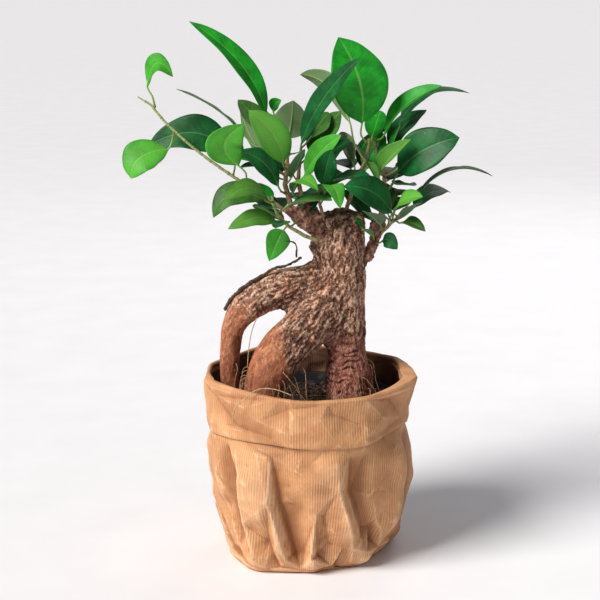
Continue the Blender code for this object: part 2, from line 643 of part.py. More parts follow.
def build_pot():
    floor = POT_FLOOR_Z
    shoulder = POT_RIM_Z - 0.0065
    profile = [
        (0, floor + 0.002), (0.030, floor + 0.002), (0.033, floor), (POT_BASE_RADIUS - 0.001, floor),
        (POT_BASE_RADIUS, floor + 0.001), (pot_outside(shoulder * 0.5), shoulder * 0.5),
        (pot_outside(shoulder), shoulder), (POT_RIM_RADIUS - 0.0004, shoulder + 0.0003),
        (POT_RIM_RADIUS, shoulder + 0.0015), (POT_RIM_RADIUS, POT_RIM_Z - 0.0006),
        (POT_RIM_RADIUS - 0.0006, POT_RIM_Z), (pot_inside(POT_RIM_Z) + 0.0005, POT_RIM_Z),
        (pot_inside(POT_RIM_Z), POT_RIM_Z - 0.0006), (pot_inside(shoulder * 0.5), shoulder * 0.5),
        (pot_inside(floor + 0.0035), floor + 0.0035), (0.033, floor + 0.0030),
        (0.030, floor + 0.0034), (0, floor + 0.0034),
    ]
    pot = turned("nursery_pot", profile, 40, "pot_plastic")
    drill = drain_holes(floor)
    cut(pot, [drill])
    bpy.data.objects.remove(drill)


def pot_inside(z):
    return pot_outside(z) - POT_WALL


def drain_holes(floor):
    """Six short plugs in a ring, to cut the drainage holes with."""
    points = []
    faces = []
    for i in range(6):
        angle = 2 * math.pi * i / 6 + 0.3
        centre = Vector((0.020 * math.cos(angle), 0.020 * math.sin(angle), 0))
        path = [centre + Vector((0, 0, floor - 0.002)), centre + Vector((0, 0, floor + 0.006))]
        verts, quads = tube(path, [0.0035, 0.0035], 8, first=len(points))
        points += verts
        faces += quads
    return body("drain_plugs", points, faces, "pot_plastic")


def soil_height(x, y):
    lumps = math.sin(x * 210 + 1.0) * math.cos(y * 190 + 0.4) * 0.0009
    grain = math.sin(x * 520 + y * 330) * 0.0004
    mound = 0.0065 * bump(math.hypot(x + 0.046, y - 0.032), 0, 0.046)
    mound += 0.0060 * bump(math.hypot(x - 0.050, y - 0.024), 0, 0.044)
    return SOIL_TOP + lumps + grain + mound


def build_soil(tree_clearance):
    bottom = POT_FLOOR_Z + 0.0034 + GAP
    side = pot_inside(SOIL_TOP) - GAP - 0.0002
    points = [Vector((0, 0, soil_height(0, 0))), Vector((0, 0, bottom))]
    rings = [(side * share, None) for share in (0.18, 0.36, 0.54, 0.70, 0.84, 0.94)]
    rings.append((side - 0.0004, None))
    rings.append((pot_inside(SOIL_TOP * 0.5) - GAP - 0.0002, SOIL_TOP * 0.5))
    rings.append((pot_inside(bottom) - GAP - 0.0003, bottom + 0.0008))
    rings.append((pot_inside(bottom) - GAP - 0.0012, bottom))
    segments = 40
    for i in range(segments):
        angle = 2 * math.pi * i / segments
        for radius, z in rings:
            x = radius * math.cos(angle)
            y = radius * math.sin(angle)
            if z is None:
                z = soil_height(x, y)
            points.append(Vector((x, y, z)))
    rows = len(rings)
    faces = []
    for i in range(segments):
        a = 2 + i * rows
        b = 2 + ((i + 1) % segments) * rows
        faces.append((0, a, b))
        faces.append((1, b + rows - 1, a + rows - 1))
        for k in range(rows - 1):
            faces.append((a + k, a + k + 1, b + k + 1, b + k))
    soil = body("potting_soil", points, faces, "potting_mix")
    cut(soil, [tree_clearance])
    largest_part(soil)


# ---------------------------------------------------------------- trunk, roots and stubs

def kept_in_pot(place, radius):
    """Roots turn in to stay clear of the bag's rim and, lower down, of the pot's wall."""
    if place.z > BAG_RIM_HEIGHT + 0.012:
        return place
    if place.z > POT_RIM_Z + 0.012:
        room = BAG_RIM_RADIUS - 0.0075 - radius
    else:
        z = max(min(place.z, POT_RIM_Z), POT_FLOOR_Z)
        room = pot_inside(z) - radius - 0.0012
    reach = math.hypot(place.x, place.y)
    if reach <= room:
        return place
    return Vector((place.x * room / reach, place.y * room / reach, place.z))


def limb_body(name, limbs, finish_name, voxel, keep, sides=12):
    """Limbs grown together: tubes joined into one skin."""
    points = []
    faces = []
    for limb in limbs:
        radii = [p[3] * MM * TREE_SCALE for p in limb]
        path = [kept_in_pot(plant(p), r) for p, r in zip(limb, radii)]
        path, radii = smooth_path(path, radii, 0.006 * TREE_SCALE)
        verts, quads = tube(path, radii, sides, first=len(points), cap=0.12)
        points += verts
        faces += quads
    item = body(name, points, faces, finish_name)
    skin = item.modifiers.new("skin", "REMESH")
    skin.mode = "VOXEL"
    skin.voxel_size = voxel * TREE_SCALE
    ease = item.modifiers.new("ease", "SMOOTH")
    ease.factor = 0.5
    ease.iterations = 3
    thin = item.modifiers.new("thin", "DECIMATE")
    thin.ratio = keep
    bake(item)
    return item


def build_stub(name, limbs, trunk_clearance):
    stub = limb_body(name, limbs, "young_bark", 0.0019, 0.6, sides=10)
    cut(stub, [trunk_clearance])
    largest_part(stub)
    return stub


# ---------------------------------------------------------------- shoots

def build_shoot(name, finish_name, points, solids, clearances):
    """A thin stem: kept outside the wood past its foot, its foot cut to the wood's surface."""
    path = []
    for i, point in enumerate(points):
        place = plant(point)
        if i > 0:
            for surface in solids:
                place = clear_of(place, surface, (point[3] + 0.7) * MM * TREE_SCALE)
        path.append(place)
    radii = [p[3] * MM * TREE_SCALE for p in points]
    path, radii = smooth_path(path, radii, 0.008 * TREE_SCALE)
    verts, faces = tube(path, radii, 7)
    shoot = body(name, verts, faces, finish_name)
    cut(shoot, clearances)
    largest_part(shoot)
    return path, radii


def build_shoots(trunk, left_stub, right_stub, clearances):
    solids = [surface_of(trunk), surface_of(left_stub), surface_of(right_stub)]
    stems = {}
    for name, (finish_name, points) in SHOOTS.items():
        stems[name] = build_shoot(name, finish_name, points, solids, clearances)
    limb = RIGHT_STUB_LIMBS[0]
    stems["right_stub"] = ([plant(p) for p in limb], [(p[3] + 0.6) * MM * TREE_SCALE for p in limb])
    return stems


# ---------------------------------------------------------------- leaves

def foot_of_stalk(stem, height, towards):
    """Where a stalk leaves its stem: just outside the bark, on the side it grows to."""
    path, radii = stem
    z = plant((0, 0, height)).z
    for i in range(len(path) - 1):
        low, high = path[i].z, path[i + 1].z
        if min(low, high) <= z <= max(low, high) and abs(high - low) > 1e-9:
            share = (z - low) / (high - low)
            centre = path[i].lerp(path[i + 1], share)
            radius = radii[i] + (radii[i + 1] - radii[i]) * share
            break
    else:
        i = len(path) - 2
        centre = path[-1]
        radius = radii[-1]
    axis = (path[i + 1] - path[i]).normalized()
    out = towards - centre
    out = (out - axis * out.dot(axis)).normalized()
    return centre + out * (radius + STALK_RADIUS + GAP), out


def bezier(p0, p1, p2, p3, t):
    s = 1 - t
    return p0 * s ** 3 + p1 * (3 * s * s * t) + p2 * (3 * s * t * t) + p3 * t ** 3


def blade_width(share):
    """Share of the full width along a blade, broadest a little past the middle."""
    return math.sin(math.pi * share ** 0.92) ** 0.72


def build_leaf(name, stems, spec):
    stem, height, base, mid, tip, width, face, fold, finish_name = spec
    base = plant(base)
    mid = plant(mid)
    tip = plant(tip)
    foot, out = foot_of_stalk(stems[stem], height, base)
    bow = mid * 2 - (base + tip) * 0.5
    reach = (base - foot).length
    start = (bow - base).normalized()
    rings = []
    for share in (0.0, 0.5):
        place = bezier(foot, foot + out * reach * 0.35, base - start * reach * 0.35, base, share)
        rings.append((place, STALK_RADIUS, STALK_RADIUS, 0.0))
    for share in (0.0, 0.10, 0.26, 0.43, 0.60, 0.77, 0.91):
        place = base.lerp(bow, share).lerp(bow.lerp(tip, share), share)
        half = 0.5 * width * MM * TREE_SCALE * blade_width(share)
        half = max(half, STALK_RADIUS)
        rings.append((place, half, LEAF_THICKNESS * (1 - 0.35 * share), fold * min(1.0, share * 5)))
    loft_leaf(name, rings, 2, tip, Vector(face).normalized(), finish_name)


def leaf_sides(places, count, stalk, face):
    """Cross direction of every ring: square to the face along the blade, carried down the stalk."""
    chord = (places[-1] - places[stalk]).normalized()
    level = chord.cross(face).normalized()
    sides = []
    for i in range(stalk, count):
        tangent = (places[i + 1] - places[i - 1]).normalized()
        local = tangent.cross(face).normalized()
        sides.append((local * 0.45 + level * 0.55).normalized())
    carried = sides[0]
    for i in range(stalk - 1, -1, -1):
        tangent = (places[i + 1] - places[max(i - 1, 0)]).normalized()
        carried = (carried - tangent * carried.dot(tangent)).normalized()
        sides.insert(0, carried)
    return sides


def loft_leaf(name, rings, stalk, tip, face, finish_name):
    """Skin over the rings: margin, quarter, midrib, quarter, margin, underside midrib."""
    places = [r[0] for r in rings] + [tip]
    sides = leaf_sides(places, len(rings), stalk, face)
    tangent = (places[1] - places[0]).normalized()
    verts = [places[0] - tangent * STALK_RADIUS * 0.4]
    for i, (place, half, thick, fold) in enumerate(rings):
        tangent = (places[i + 1] - places[max(i - 1, 0)]).normalized()
        side = sides[i]
        up = side.cross(tangent).normalized()
        rise = fold * half
        crown = 0.5 * thick
        section = [(-1, rise), (-0.5, rise * 0.42 + crown), (0, crown),
                   (0.5, rise * 0.42 + crown), (1, rise), (0, -crown)]
        if half <= STALK_RADIUS * 1.01:
            crown = 0.87 * half
            section = [(-1, 0), (-0.5, crown), (0.5, crown), (1, 0), (0.5, -crown), (-0.5, -crown)]
        verts += [place + side * (half * s) + up * u for s, u in section]
    verts.append(tip)
    body(name, verts, tube_faces(len(rings), 6, 0), finish_name)


# ---------------------------------------------------------------- dry root and fibres

def laid_on(point, surface, distance):
    """A point brought to the given distance from a surface it is already near."""
    near, normal, _, far = surface.find_nearest(point)
    if far > 0.010:
        return point
    return near + normal * distance


def strand(name, points, radius, finish_name, surfaces, sides=6, step=0.007, resting=False):
    """A loose strand lying just off the surfaces it passes, or resting along them."""
    path, _ = smooth_path(points, [radius] * len(points), step)
    lying = round(len(path) * 0.68) if resting else 0
    for surface in surfaces:
        path[:lying] = [laid_on(p, surface, radius + GAP + 0.0003) for p in path[:lying]]
        path = [clear_of(p, surface, radius + GAP + 0.0003) for p in path]
    radii = [radius * (1 - 0.35 * i / (len(path) - 1)) for i in range(len(path))]
    verts, faces = tube(path, radii, sides)
    body(name, verts, faces, finish_name)


def build_strands(wood):
    strand("dead_root", [plant(p) for p in DEAD_ROOT], 0.0012, "dead_root", wood,
           resting=True)
    strand("dry_twig", [plant(p) for p in DRY_TWIG], 0.0006, "dead_root", wood, step=0.003)
    strand("hanging_fibre", [plant(p) for p in HANGING_FIBRE], 0.00035, "root_fibre", wood, 5)
    wider = BAG_RIM_RADIUS / 0.0655
    higher = BAG_RIM_HEIGHT - 0.119
    rim = [Vector((x * wider, y * wider, z)) * MM + Vector((0, 0, higher)) for x, y, z in RIM_FIBRE]
    strand("rim_fibre", rim, 0.00035, "root_fibre", [], 5)


# ---------------------------------------------------------------- assembly

def build():
    clear_scene()
    build_bag()
    build_pot()
    trunk = limb_body("trunk", TRUNK_LIMBS, "ficus_bark", 0.0030, 0.36)
    trunk_clearance = inflated(trunk, GAP + 0.00015)
    build_soil(trunk_clearance)
    left_stub = build_stub("left_stub", LEFT_STUB_LIMBS, trunk_clearance)
    right_stub = build_stub("right_stub", RIGHT_STUB_LIMBS, trunk_clearance)
    clearances = [trunk_clearance, inflated(left_stub, GAP), inflated(right_stub, GAP)]
    stems = build_shoots(trunk, left_stub, right_stub, clearances)
    for name, spec in LEAVES.items():
        build_leaf(name, stems, spec)
    build_strands([surface_of(trunk), surface_of(left_stub)])
    for item in clearances:
        bpy.data.objects.remove(item)


build()
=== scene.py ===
"""Visual model of a ginseng ficus bonsai in a nursery pot that stands in a folded paper bag.

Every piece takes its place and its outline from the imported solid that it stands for, and
adds the fine shape and the material.  Metres, +Z up.
"""
import json
import math
import random

import bmesh
import bpy
import numpy as np
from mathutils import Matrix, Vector
from mathutils.bvhtree import BVHTree
from mathutils.geometry import delaunay_2d_cdt
from mathutils.kdtree import KDTree


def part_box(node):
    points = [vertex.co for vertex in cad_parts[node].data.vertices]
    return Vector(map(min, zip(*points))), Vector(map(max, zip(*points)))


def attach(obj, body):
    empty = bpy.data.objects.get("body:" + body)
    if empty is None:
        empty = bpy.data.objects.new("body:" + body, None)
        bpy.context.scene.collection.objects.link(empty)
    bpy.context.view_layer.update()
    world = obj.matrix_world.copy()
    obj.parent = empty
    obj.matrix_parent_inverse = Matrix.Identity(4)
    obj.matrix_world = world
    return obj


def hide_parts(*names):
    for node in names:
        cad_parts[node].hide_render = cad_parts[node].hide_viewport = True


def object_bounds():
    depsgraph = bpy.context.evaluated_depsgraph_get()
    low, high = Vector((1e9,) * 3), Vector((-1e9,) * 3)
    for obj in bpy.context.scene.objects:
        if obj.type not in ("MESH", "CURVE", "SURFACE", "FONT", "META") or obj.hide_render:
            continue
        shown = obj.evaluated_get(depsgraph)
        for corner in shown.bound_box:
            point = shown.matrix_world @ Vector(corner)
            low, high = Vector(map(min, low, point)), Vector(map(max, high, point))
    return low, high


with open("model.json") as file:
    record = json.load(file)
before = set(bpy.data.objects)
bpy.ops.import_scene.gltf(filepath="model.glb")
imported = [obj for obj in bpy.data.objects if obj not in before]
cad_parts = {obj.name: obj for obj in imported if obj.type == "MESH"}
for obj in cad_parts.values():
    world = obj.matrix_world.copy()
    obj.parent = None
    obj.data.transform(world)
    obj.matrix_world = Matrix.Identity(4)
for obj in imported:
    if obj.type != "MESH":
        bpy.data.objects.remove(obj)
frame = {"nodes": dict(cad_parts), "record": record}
CAD_LOW, CAD_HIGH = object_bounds()
SLOTS = {part["node"]: part["material_slot"] for part in frame["record"]["subparts"]}
MM = 0.001
DOWN = Vector((0, 0, -1))
GRAIN_SAMPLES = 6000    # about how many points a limb's grain is read from
TUBE_END = 0.6          # how far a tube's end stands out, as a share of its radius
RIBS_ROUND = 250.0      # ribs of the paper round the bag


# ---------------------------------------------------------------- reading the frame

def read_points(mesh, what):
    """The vertices' places or normals, n x 3."""
    flat = np.empty(len(mesh.vertices) * 3)
    mesh.vertices.foreach_get(what, flat)
    return flat.reshape(-1, 3)


def welded(name):
    """Points (n x 3) and faces of a CAD node, with the corners that the import split joined."""
    mesh = frame["nodes"][name].data
    points, index = np.unique(np.round(read_points(mesh, "co"), 7), axis=0, return_inverse=True)
    index = index.reshape(-1)
    faces = []
    for polygon in mesh.polygons:
        corners = [int(index[v]) for v in polygon.vertices]
        if len(set(corners)) == len(corners):
            faces.append(tuple(corners))
    return points, faces


def surface_of(points, faces):
    return BVHTree.FromPolygons([Vector(p) for p in points], faces)


def neighbours(count, faces):
    links = [set() for _ in range(count)]
    for face in faces:
        for a, b in zip(face, face[1:] + face[:1]):
            links[a].add(b)
            links[b].add(a)
    return links


def levels_from(start, links):
    """Vertices by their number of steps from the first ones."""
    rows = [list(start)]
    seen = set(start)
    while True:
        following = sorted(set(j for i in rows[-1] for j in links[i]) - seen)
        if not following:
            return rows
        rows.append(following)
        seen.update(following)


def rings_of(points, faces):
    """The rings of a tube with a point at each end, each in order round it."""
    links = neighbours(len(points), faces)
    for start in range(len(points)):
        rows = levels_from([start], links)
        sizes = [len(row) for row in rows]
        if len(rows) > 3 and sizes[-1] == 1 and len(set(sizes[1:-1])) == 1 and sizes[1] > 3:
            return [in_order(row, links) for row in rows]
    raise ValueError("the node is not a plain tube")


def in_order(ring, links):
    order = [ring[0]]
    while len(order) < len(ring):
        order.append(next(j for j in links[order[-1]] if j in ring and j not in order))
    return order


# ---------------------------------------------------------------- numbers

def lattice(ix, iy, iz, seed):
    """A scatter value from -1 to 1 for each whole-numbered point."""
    mixed = (ix * 374761393 + iy * 668265263 + iz * 1442695041 + seed * 974634777) & 0xFFFFFFFF
    mixed = ((mixed ^ (mixed >> 13)) * 1274126177) & 0xFFFFFFFF
    return ((mixed ^ (mixed >> 16)) & 0xFFFF) / 32767.5 - 1.0


def rough(points, size, seed=0):
    """Smooth noise from -1 to 1 at each point, with features about one size across."""
    scaled = points / size
    cell = np.floor(scaled).astype(np.int64)
    share = scaled - cell
    ease = share * share * (3 - 2 * share)
    total = np.zeros(len(points))
    for dx in (0, 1):
        wx = ease[:, 0] if dx else 1 - ease[:, 0]
        for dy in (0, 1):
            wy = ease[:, 1] if dy else 1 - ease[:, 1]
            for dz in (0, 1):
                wz = ease[:, 2] if dz else 1 - ease[:, 2]
                value = lattice(cell[:, 0] + dx, cell[:, 1] + dy, cell[:, 2] + dz, seed)
                total += wx * wy * wz * value
    return total


def streaks(points, axes, size, reach, seed=0):
    """Noise drawn out along an axis that may turn from point to point."""
    total = np.zeros(len(points))
    steps = np.linspace(-reach, reach, 7)
    for step in steps:
        total += rough(points + axes * step, size, seed)
    return total / len(steps) * 1.9


def smoothstep(low, high, value):
    share = np.clip((value - low) / (high - low), 0, 1)
    return share * share * (3 - 2 * share)


def near(points, centre, radius):
    """1 at a centre falling to 0 at a radius."""
    return 1 - smoothstep(0.25, 1.0, np.linalg.norm(points - np.array(centre), axis=1) / radius)


def through(knots, values, at):
    """A smooth curve through values (k x ...) given at knots, read at many places."""
    knots = np.asarray(knots, float)
    values = np.asarray(values, float)
    slope = np.gradient(values, knots, axis=0)
    index = np.clip(np.searchsorted(knots, at, side="right") - 1, 0, len(knots) - 2)
    width = knots[index + 1] - knots[index]
    t = (at - knots[index]) / width
    shape = (-1,) + (1,) * (values.ndim - 1)
    t = t.reshape(shape)
    width = width.reshape(shape)
    a = values[index] * (2 * t ** 3 - 3 * t ** 2 + 1)
    b = slope[index] * width * (t ** 3 - 2 * t ** 2 + t)
    c = values[index + 1] * (-2 * t ** 3 + 3 * t ** 2)
    d = slope[index + 1] * width * (t ** 3 - t ** 2)
    return a + b + c + d


def unit(vectors):
    return vectors / np.maximum(np.linalg.norm(vectors, axis=-1, keepdims=True), 1e-12)


# ---------------------------------------------------------------- making pieces

def make_mesh(name, points, faces, smooth=True):
    mesh = bpy.data.meshes.new(name)
    mesh.from_pydata(np.asarray(points).tolist(), [], faces)
    mesh.update()
    if smooth:
        mesh.shade_smooth()
    return mesh


def added(name, data):
    """A new object in the scene."""
    item = bpy.data.objects.new(name, data)
    bpy.context.collection.objects.link(item)
    return item


def piece(name, shape, look, nodes, slot, **numbers):
    """A visible piece from (points, faces) or a mesh; its material reads the numbers of its points."""
    mesh = shape if isinstance(shape, bpy.types.Mesh) else make_mesh(name, *shape)
    for key, values in numbers.items():
        layer = mesh.attributes.new(key, "FLOAT", "POINT")
        layer.data.foreach_set("value", np.asarray(values, np.float32))
    mesh.materials.append(look)
    item = added(name, mesh)
    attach(item, "root")
    if nodes:
        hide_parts(*nodes)


def fine_skin(points, faces, voxel, rounds, trim_below=None):
    """The solid's skin remade with small even faces and eased: points, normals and faces."""
    mesh = make_mesh("skin", points, faces)
    if trim_below is not None:
        work = bmesh.new()
        work.from_mesh(mesh)
        geometry = work.verts[:] + work.edges[:] + work.faces[:]
        cut = bmesh.ops.bisect_plane(work, geom=geometry, plane_co=(0, 0, trim_below),
                                     plane_no=(0, 0, -1), clear_outer=True)
        rim = [e for e in cut["geom_cut"] if isinstance(e, bmesh.types.BMEdge)]
        bmesh.ops.contextual_create(work, geom=rim)
        work.to_mesh(mesh)
        work.free()
    item = added("skin", mesh)
    remesh = item.modifiers.new("remesh", "REMESH")
    remesh.mode = "VOXEL"
    remesh.voxel_size = voxel
    ease = item.modifiers.new("ease", "SMOOTH")
    ease.factor = 0.5
    ease.iterations = rounds
    bpy.context.view_layer.update()
    graph = bpy.context.evaluated_depsgraph_get()
    made = item.evaluated_get(graph).to_mesh()
    skin = [read_points(made, "co"), read_points(made, "normal")]
    skin.append([tuple(polygon.vertices) for polygon in made.polygons])
    bpy.data.objects.remove(item)
    bpy.data.meshes.remove(mesh)
    return skin


def tree_of(points):
    tree = KDTree(len(points))
    for place, point in enumerate(points):
        tree.insert(point, place)
    tree.balance()
    return tree


def grain_axes(points, normals, reach):
    """The direction a limb runs in at each point: the one its normals turn about."""
    sample = np.arange(0, len(points), max(1, len(points) // GRAIN_SAMPLES))
    tree = tree_of(points[sample])
    centres = sample[::6]
    axes = []
    for index in centres:
        found = [hit[1] for hit in tree.find_range(points[index], reach)]
        facing = normals[sample[found]]
        _, vectors = np.linalg.eigh(facing.T @ facing)
        axis = vectors[:, 0]
        axes.append(axis if axis[2] > 0 else -axis)
    coarse = tree_of(points[centres])
    out = np.empty_like(points)
    for i, point in enumerate(points):
        hits = coarse.find_n(point, 4)
        first = axes[hits[0][1]]
        total = np.zeros(3)
        for _, place, distance in hits:
            axis = axes[place]
            total += (axis if axis @ first > 0 else -axis) / (distance + 0.001)
        out[i] = total
    return unit(out)


def raised(points, normals, height):
    """Points moved out along their normals, each by its height in mm."""
    return points + normals * (height * MM)[:, None]


def sunk(points, surface, within, depth):
    """Points that lie close to another piece's surface are pushed into it, to close the joint."""
    out = points.copy()
    for i, point in enumerate(points):
        hit, normal, *_ = surface.find_nearest(Vector(point), within)
        if hit is not None:
            out[i] = np.array(Vector(point) - normal * depth)
    return out


def tube(path, radii, sides):
    """A closed tube along points (n x 3) with blunt ends."""
    tangents = unit(np.gradient(path, axis=0))
    side = np.cross(tangents[0], (0.3, 0.5, 0.8))
    points = [path[0] - tangents[0] * radii[0] * TUBE_END]
    turn = np.linspace(0, 2 * math.pi, sides, endpoint=False)
    for centre, tangent, radius in zip(path, tangents, radii):
        side = side - tangent * (side @ tangent)
        side = side / np.linalg.norm(side)
        up = np.cross(tangent, side)
        spokes = np.outer(np.cos(turn), side) + np.outer(np.sin(turn), up)
        points.extend(centre + spokes * radius)
    points.append(path[-1] + tangents[-1] * radii[-1] * TUBE_END)
    faces = []
    last = len(path) - 1
    for k in range(sides):
        j = (k + 1) % sides
        faces.append((0, 1 + j, 1 + k))
        faces.append((1 + last * sides + k, 1 + last * sides + j, len(points) - 1))
        for i in range(last):
            a = 1 + i * sides
            faces.append((a + k, a + j, a + sides + j, a + sides + k))
    return np.array(points), faces


def lengths_along(path):
    """Length of a path up to each of its points."""
    return np.concatenate([[0], np.cumsum(np.linalg.norm(np.diff(path, axis=0), axis=1))])


def resampled(path, step):
    """A smooth curve through path points at an even step, and each point's share along it."""
    knots = lengths_along(path)
    at = np.linspace(0, knots[-1], max(4, round(knots[-1] / step)))
    return through(knots, path, at), at / knots[-1]


def joined(parts):
    """Several (points, faces) as one."""
    faces = []
    count = 0
    for points, some in parts:
        faces.extend(tuple(v + count for v in face) for face in some)
        count += len(points)
    return np.concatenate([points for points, _ in parts]), faces


# ---------------------------------------------------------------- materials

class Value:
    """A shader node's output, to reckon with like a number and to mix like a colour."""

    def __init__(self, look, socket):
        self.look = look
        self.socket = socket

    def __add__(self, other):
        return self.look.math("ADD", self, other)

    def __sub__(self, other):
        return self.look.math("SUBTRACT", self, other)

    def __rsub__(self, other):
        return self.look.math("SUBTRACT", other, self)

    def __mul__(self, other):
        return self.look.math("MULTIPLY", self, other)

    def __abs__(self):
        return self.look.math("ABSOLUTE", self)

    def spread(self, low, high):
        """0 at low to 1 at high, eased."""
        ends = {"Value": self, "From Min": low, "From Max": high}
        return self.look.node("ShaderNodeMapRange", ends, interpolation_type="SMOOTHSTEP")

    def between(self, low, high):
        """A number going from low to high as this one goes from 0 to 1."""
        return self * (high - low) + low

    def ramp(self, *stops):
        """A colour for this number, from stops of position, red, green and blue."""
        colour = self.look.node("ShaderNodeValToRGB", {0: self})
        marks = colour.socket.node.color_ramp.elements
        while len(marks) < len(stops):
            marks.new(0.5)
        for mark, (position, *shade) in zip(marks, stops):
            mark.position = position
            mark.color = (*shade, 1.0)
        return colour

    def mixed(self, share, other, blend="MIX"):
        return self.look.mix(share, self, other, blend)

    def scaled(self, factor):
        """This colour times a grey value."""
        grey = self.look.node("ShaderNodeCombineColor", {0: factor, 1: factor, 2: factor})
        return self.mixed(1.0, grey, "MULTIPLY")


class Look:
    """A procedural material being put together."""

    def __init__(self, name, roughness=0.6, coat=0.0, coat_roughness=0.3, specular=0.5):
        self.material = bpy.data.materials.new(name)
        self.material.use_nodes = True
        self.tree = self.material.node_tree
        self.shader = self.tree.nodes["Principled BSDF"].inputs
        self.shader["Roughness"].default_value = roughness
        self.shader["Coat Weight"].default_value = coat
        self.shader["Coat Roughness"].default_value = coat_roughness
        self.shader["Specular IOR Level"].default_value = specular

    def put(self, socket, value):
        if isinstance(value, Value):
            self.tree.links.new(value.socket, socket)
        else:
            socket.default_value = value

    def node(self, kind, inputs, output=0, **settings):
        """The output of a new node, with its inputs set or linked."""
        made = self.tree.nodes.new(kind)
        for key, value in settings.items():
            setattr(made, key, value)
        for key, value in inputs.items():
            self.put(made.inputs[key], value)
        return Value(self, made.outputs[output])

    def math(self, operation, a, b=0.0):
        return self.node("ShaderNodeMath", {0: a, 1: b}, operation=operation)

    def coords(self):
        return self.node("ShaderNodeTexCoord", {}, "Object")

    def axis(self, k):
        return self.node("ShaderNodeSeparateXYZ", {0: self.coords()}, k)

    def place(self, scale):
        return self.node("ShaderNodeMapping", {"Vector": self.coords(), "Scale": scale})

    def noise(self, size, detail=3.0, scale=(1, 1, 1)):
        """Noise from 0 to 1 with features about one size across, in metres."""
        settings = {"Vector": self.place(scale), "Scale": 1 / size, "Detail": detail}
        return self.node("ShaderNodeTexNoise", settings, "Fac")

    def cells(self, size, output="Distance"):
        return self.node("ShaderNodeTexVoronoi", {"Vector": self.place((1, 1, 1)), "Scale": 1 / size}, output)

    def read(self, name):
        """The number that the mesh carries under a name."""
        return self.node("ShaderNodeAttribute", {}, "Fac", attribute_name=name)

    def mix(self, share, a, b, blend="MIX"):
        a, b = (colour if isinstance(colour, Value) else (*colour, 1.0) for colour in (a, b))
        return self.node("ShaderNodeMix", {0: share, 6: a, 7: b}, 2, data_type="RGBA", blend_type=blend)

    def bump(self, height, depth):
        """Relief of a depth in metres where the height goes from 0 to 1."""
        settings = {"Strength": 1.0, "Distance": depth, "Height": height}
        self.put(self.shader["Normal"], self.node("ShaderNodeBump", settings))

    def done(self, colour, roughness=None):
        self.put(self.shader["Base Color"], colour)
        if roughness is not None:
            self.put(self.shader["Roughness"], roughness)
        return self.material


def leaf_look(name, dark, light, under, vein):
    look = Look(name, coat=0.03, coat_roughness=0.35, specular=0.16)
    along = look.read("along")
    across = abs(look.read("across"))
    below = look.read("under")
    fine = look.noise(0.0016, 2.0)
    colour = look.mix(look.noise(0.009).spread(0.3, 0.7), dark, light)
    colour = colour.mixed(look.read("warm") * 0.75, (0.150, 0.420, 0.050))
    colour = colour.mixed(across.spread(0.45, 1.0) * 0.35, dark)
    # side veins run forward from the midrib to the margin
    wave = abs(look.math("FRACT", along * 13.0 - across * 1.9) - 0.5)
    veins = (1.0 - wave.spread(0.0, 0.14)) * (1.0 - across.spread(0.78, 0.95))
    rib = 1.0 - across.spread(0.015, 0.065)
    colour = colour.mixed(veins * 0.07, vein).mixed(rib * 0.42, vein)
    colour = colour.mixed(across.spread(0.955, 0.99) * 0.2, vein)
    pale = look.mix(veins * 0.22, under, vein).mixed(rib * 0.6, vein)
    stem = look.mix(along.spread(-0.9, 0.1), (0.20, 0.17, 0.055), vein)
    colour = colour.mixed(below, pale).mixed(look.read("stalk"), stem)
    colour = colour.mixed(look.noise(0.0021, 1.0).spread(0.72, 0.80) * 0.18, (0.45, 0.50, 0.35))
    colour = colour.scaled(fine * 0.22 + look.read("tone"))
    look.bump(veins * -0.4 + fine * 0.35, 0.00010)
    return look.done(colour, look.noise(0.004, 2.0).between(0.34, 0.52) + below * 0.22)


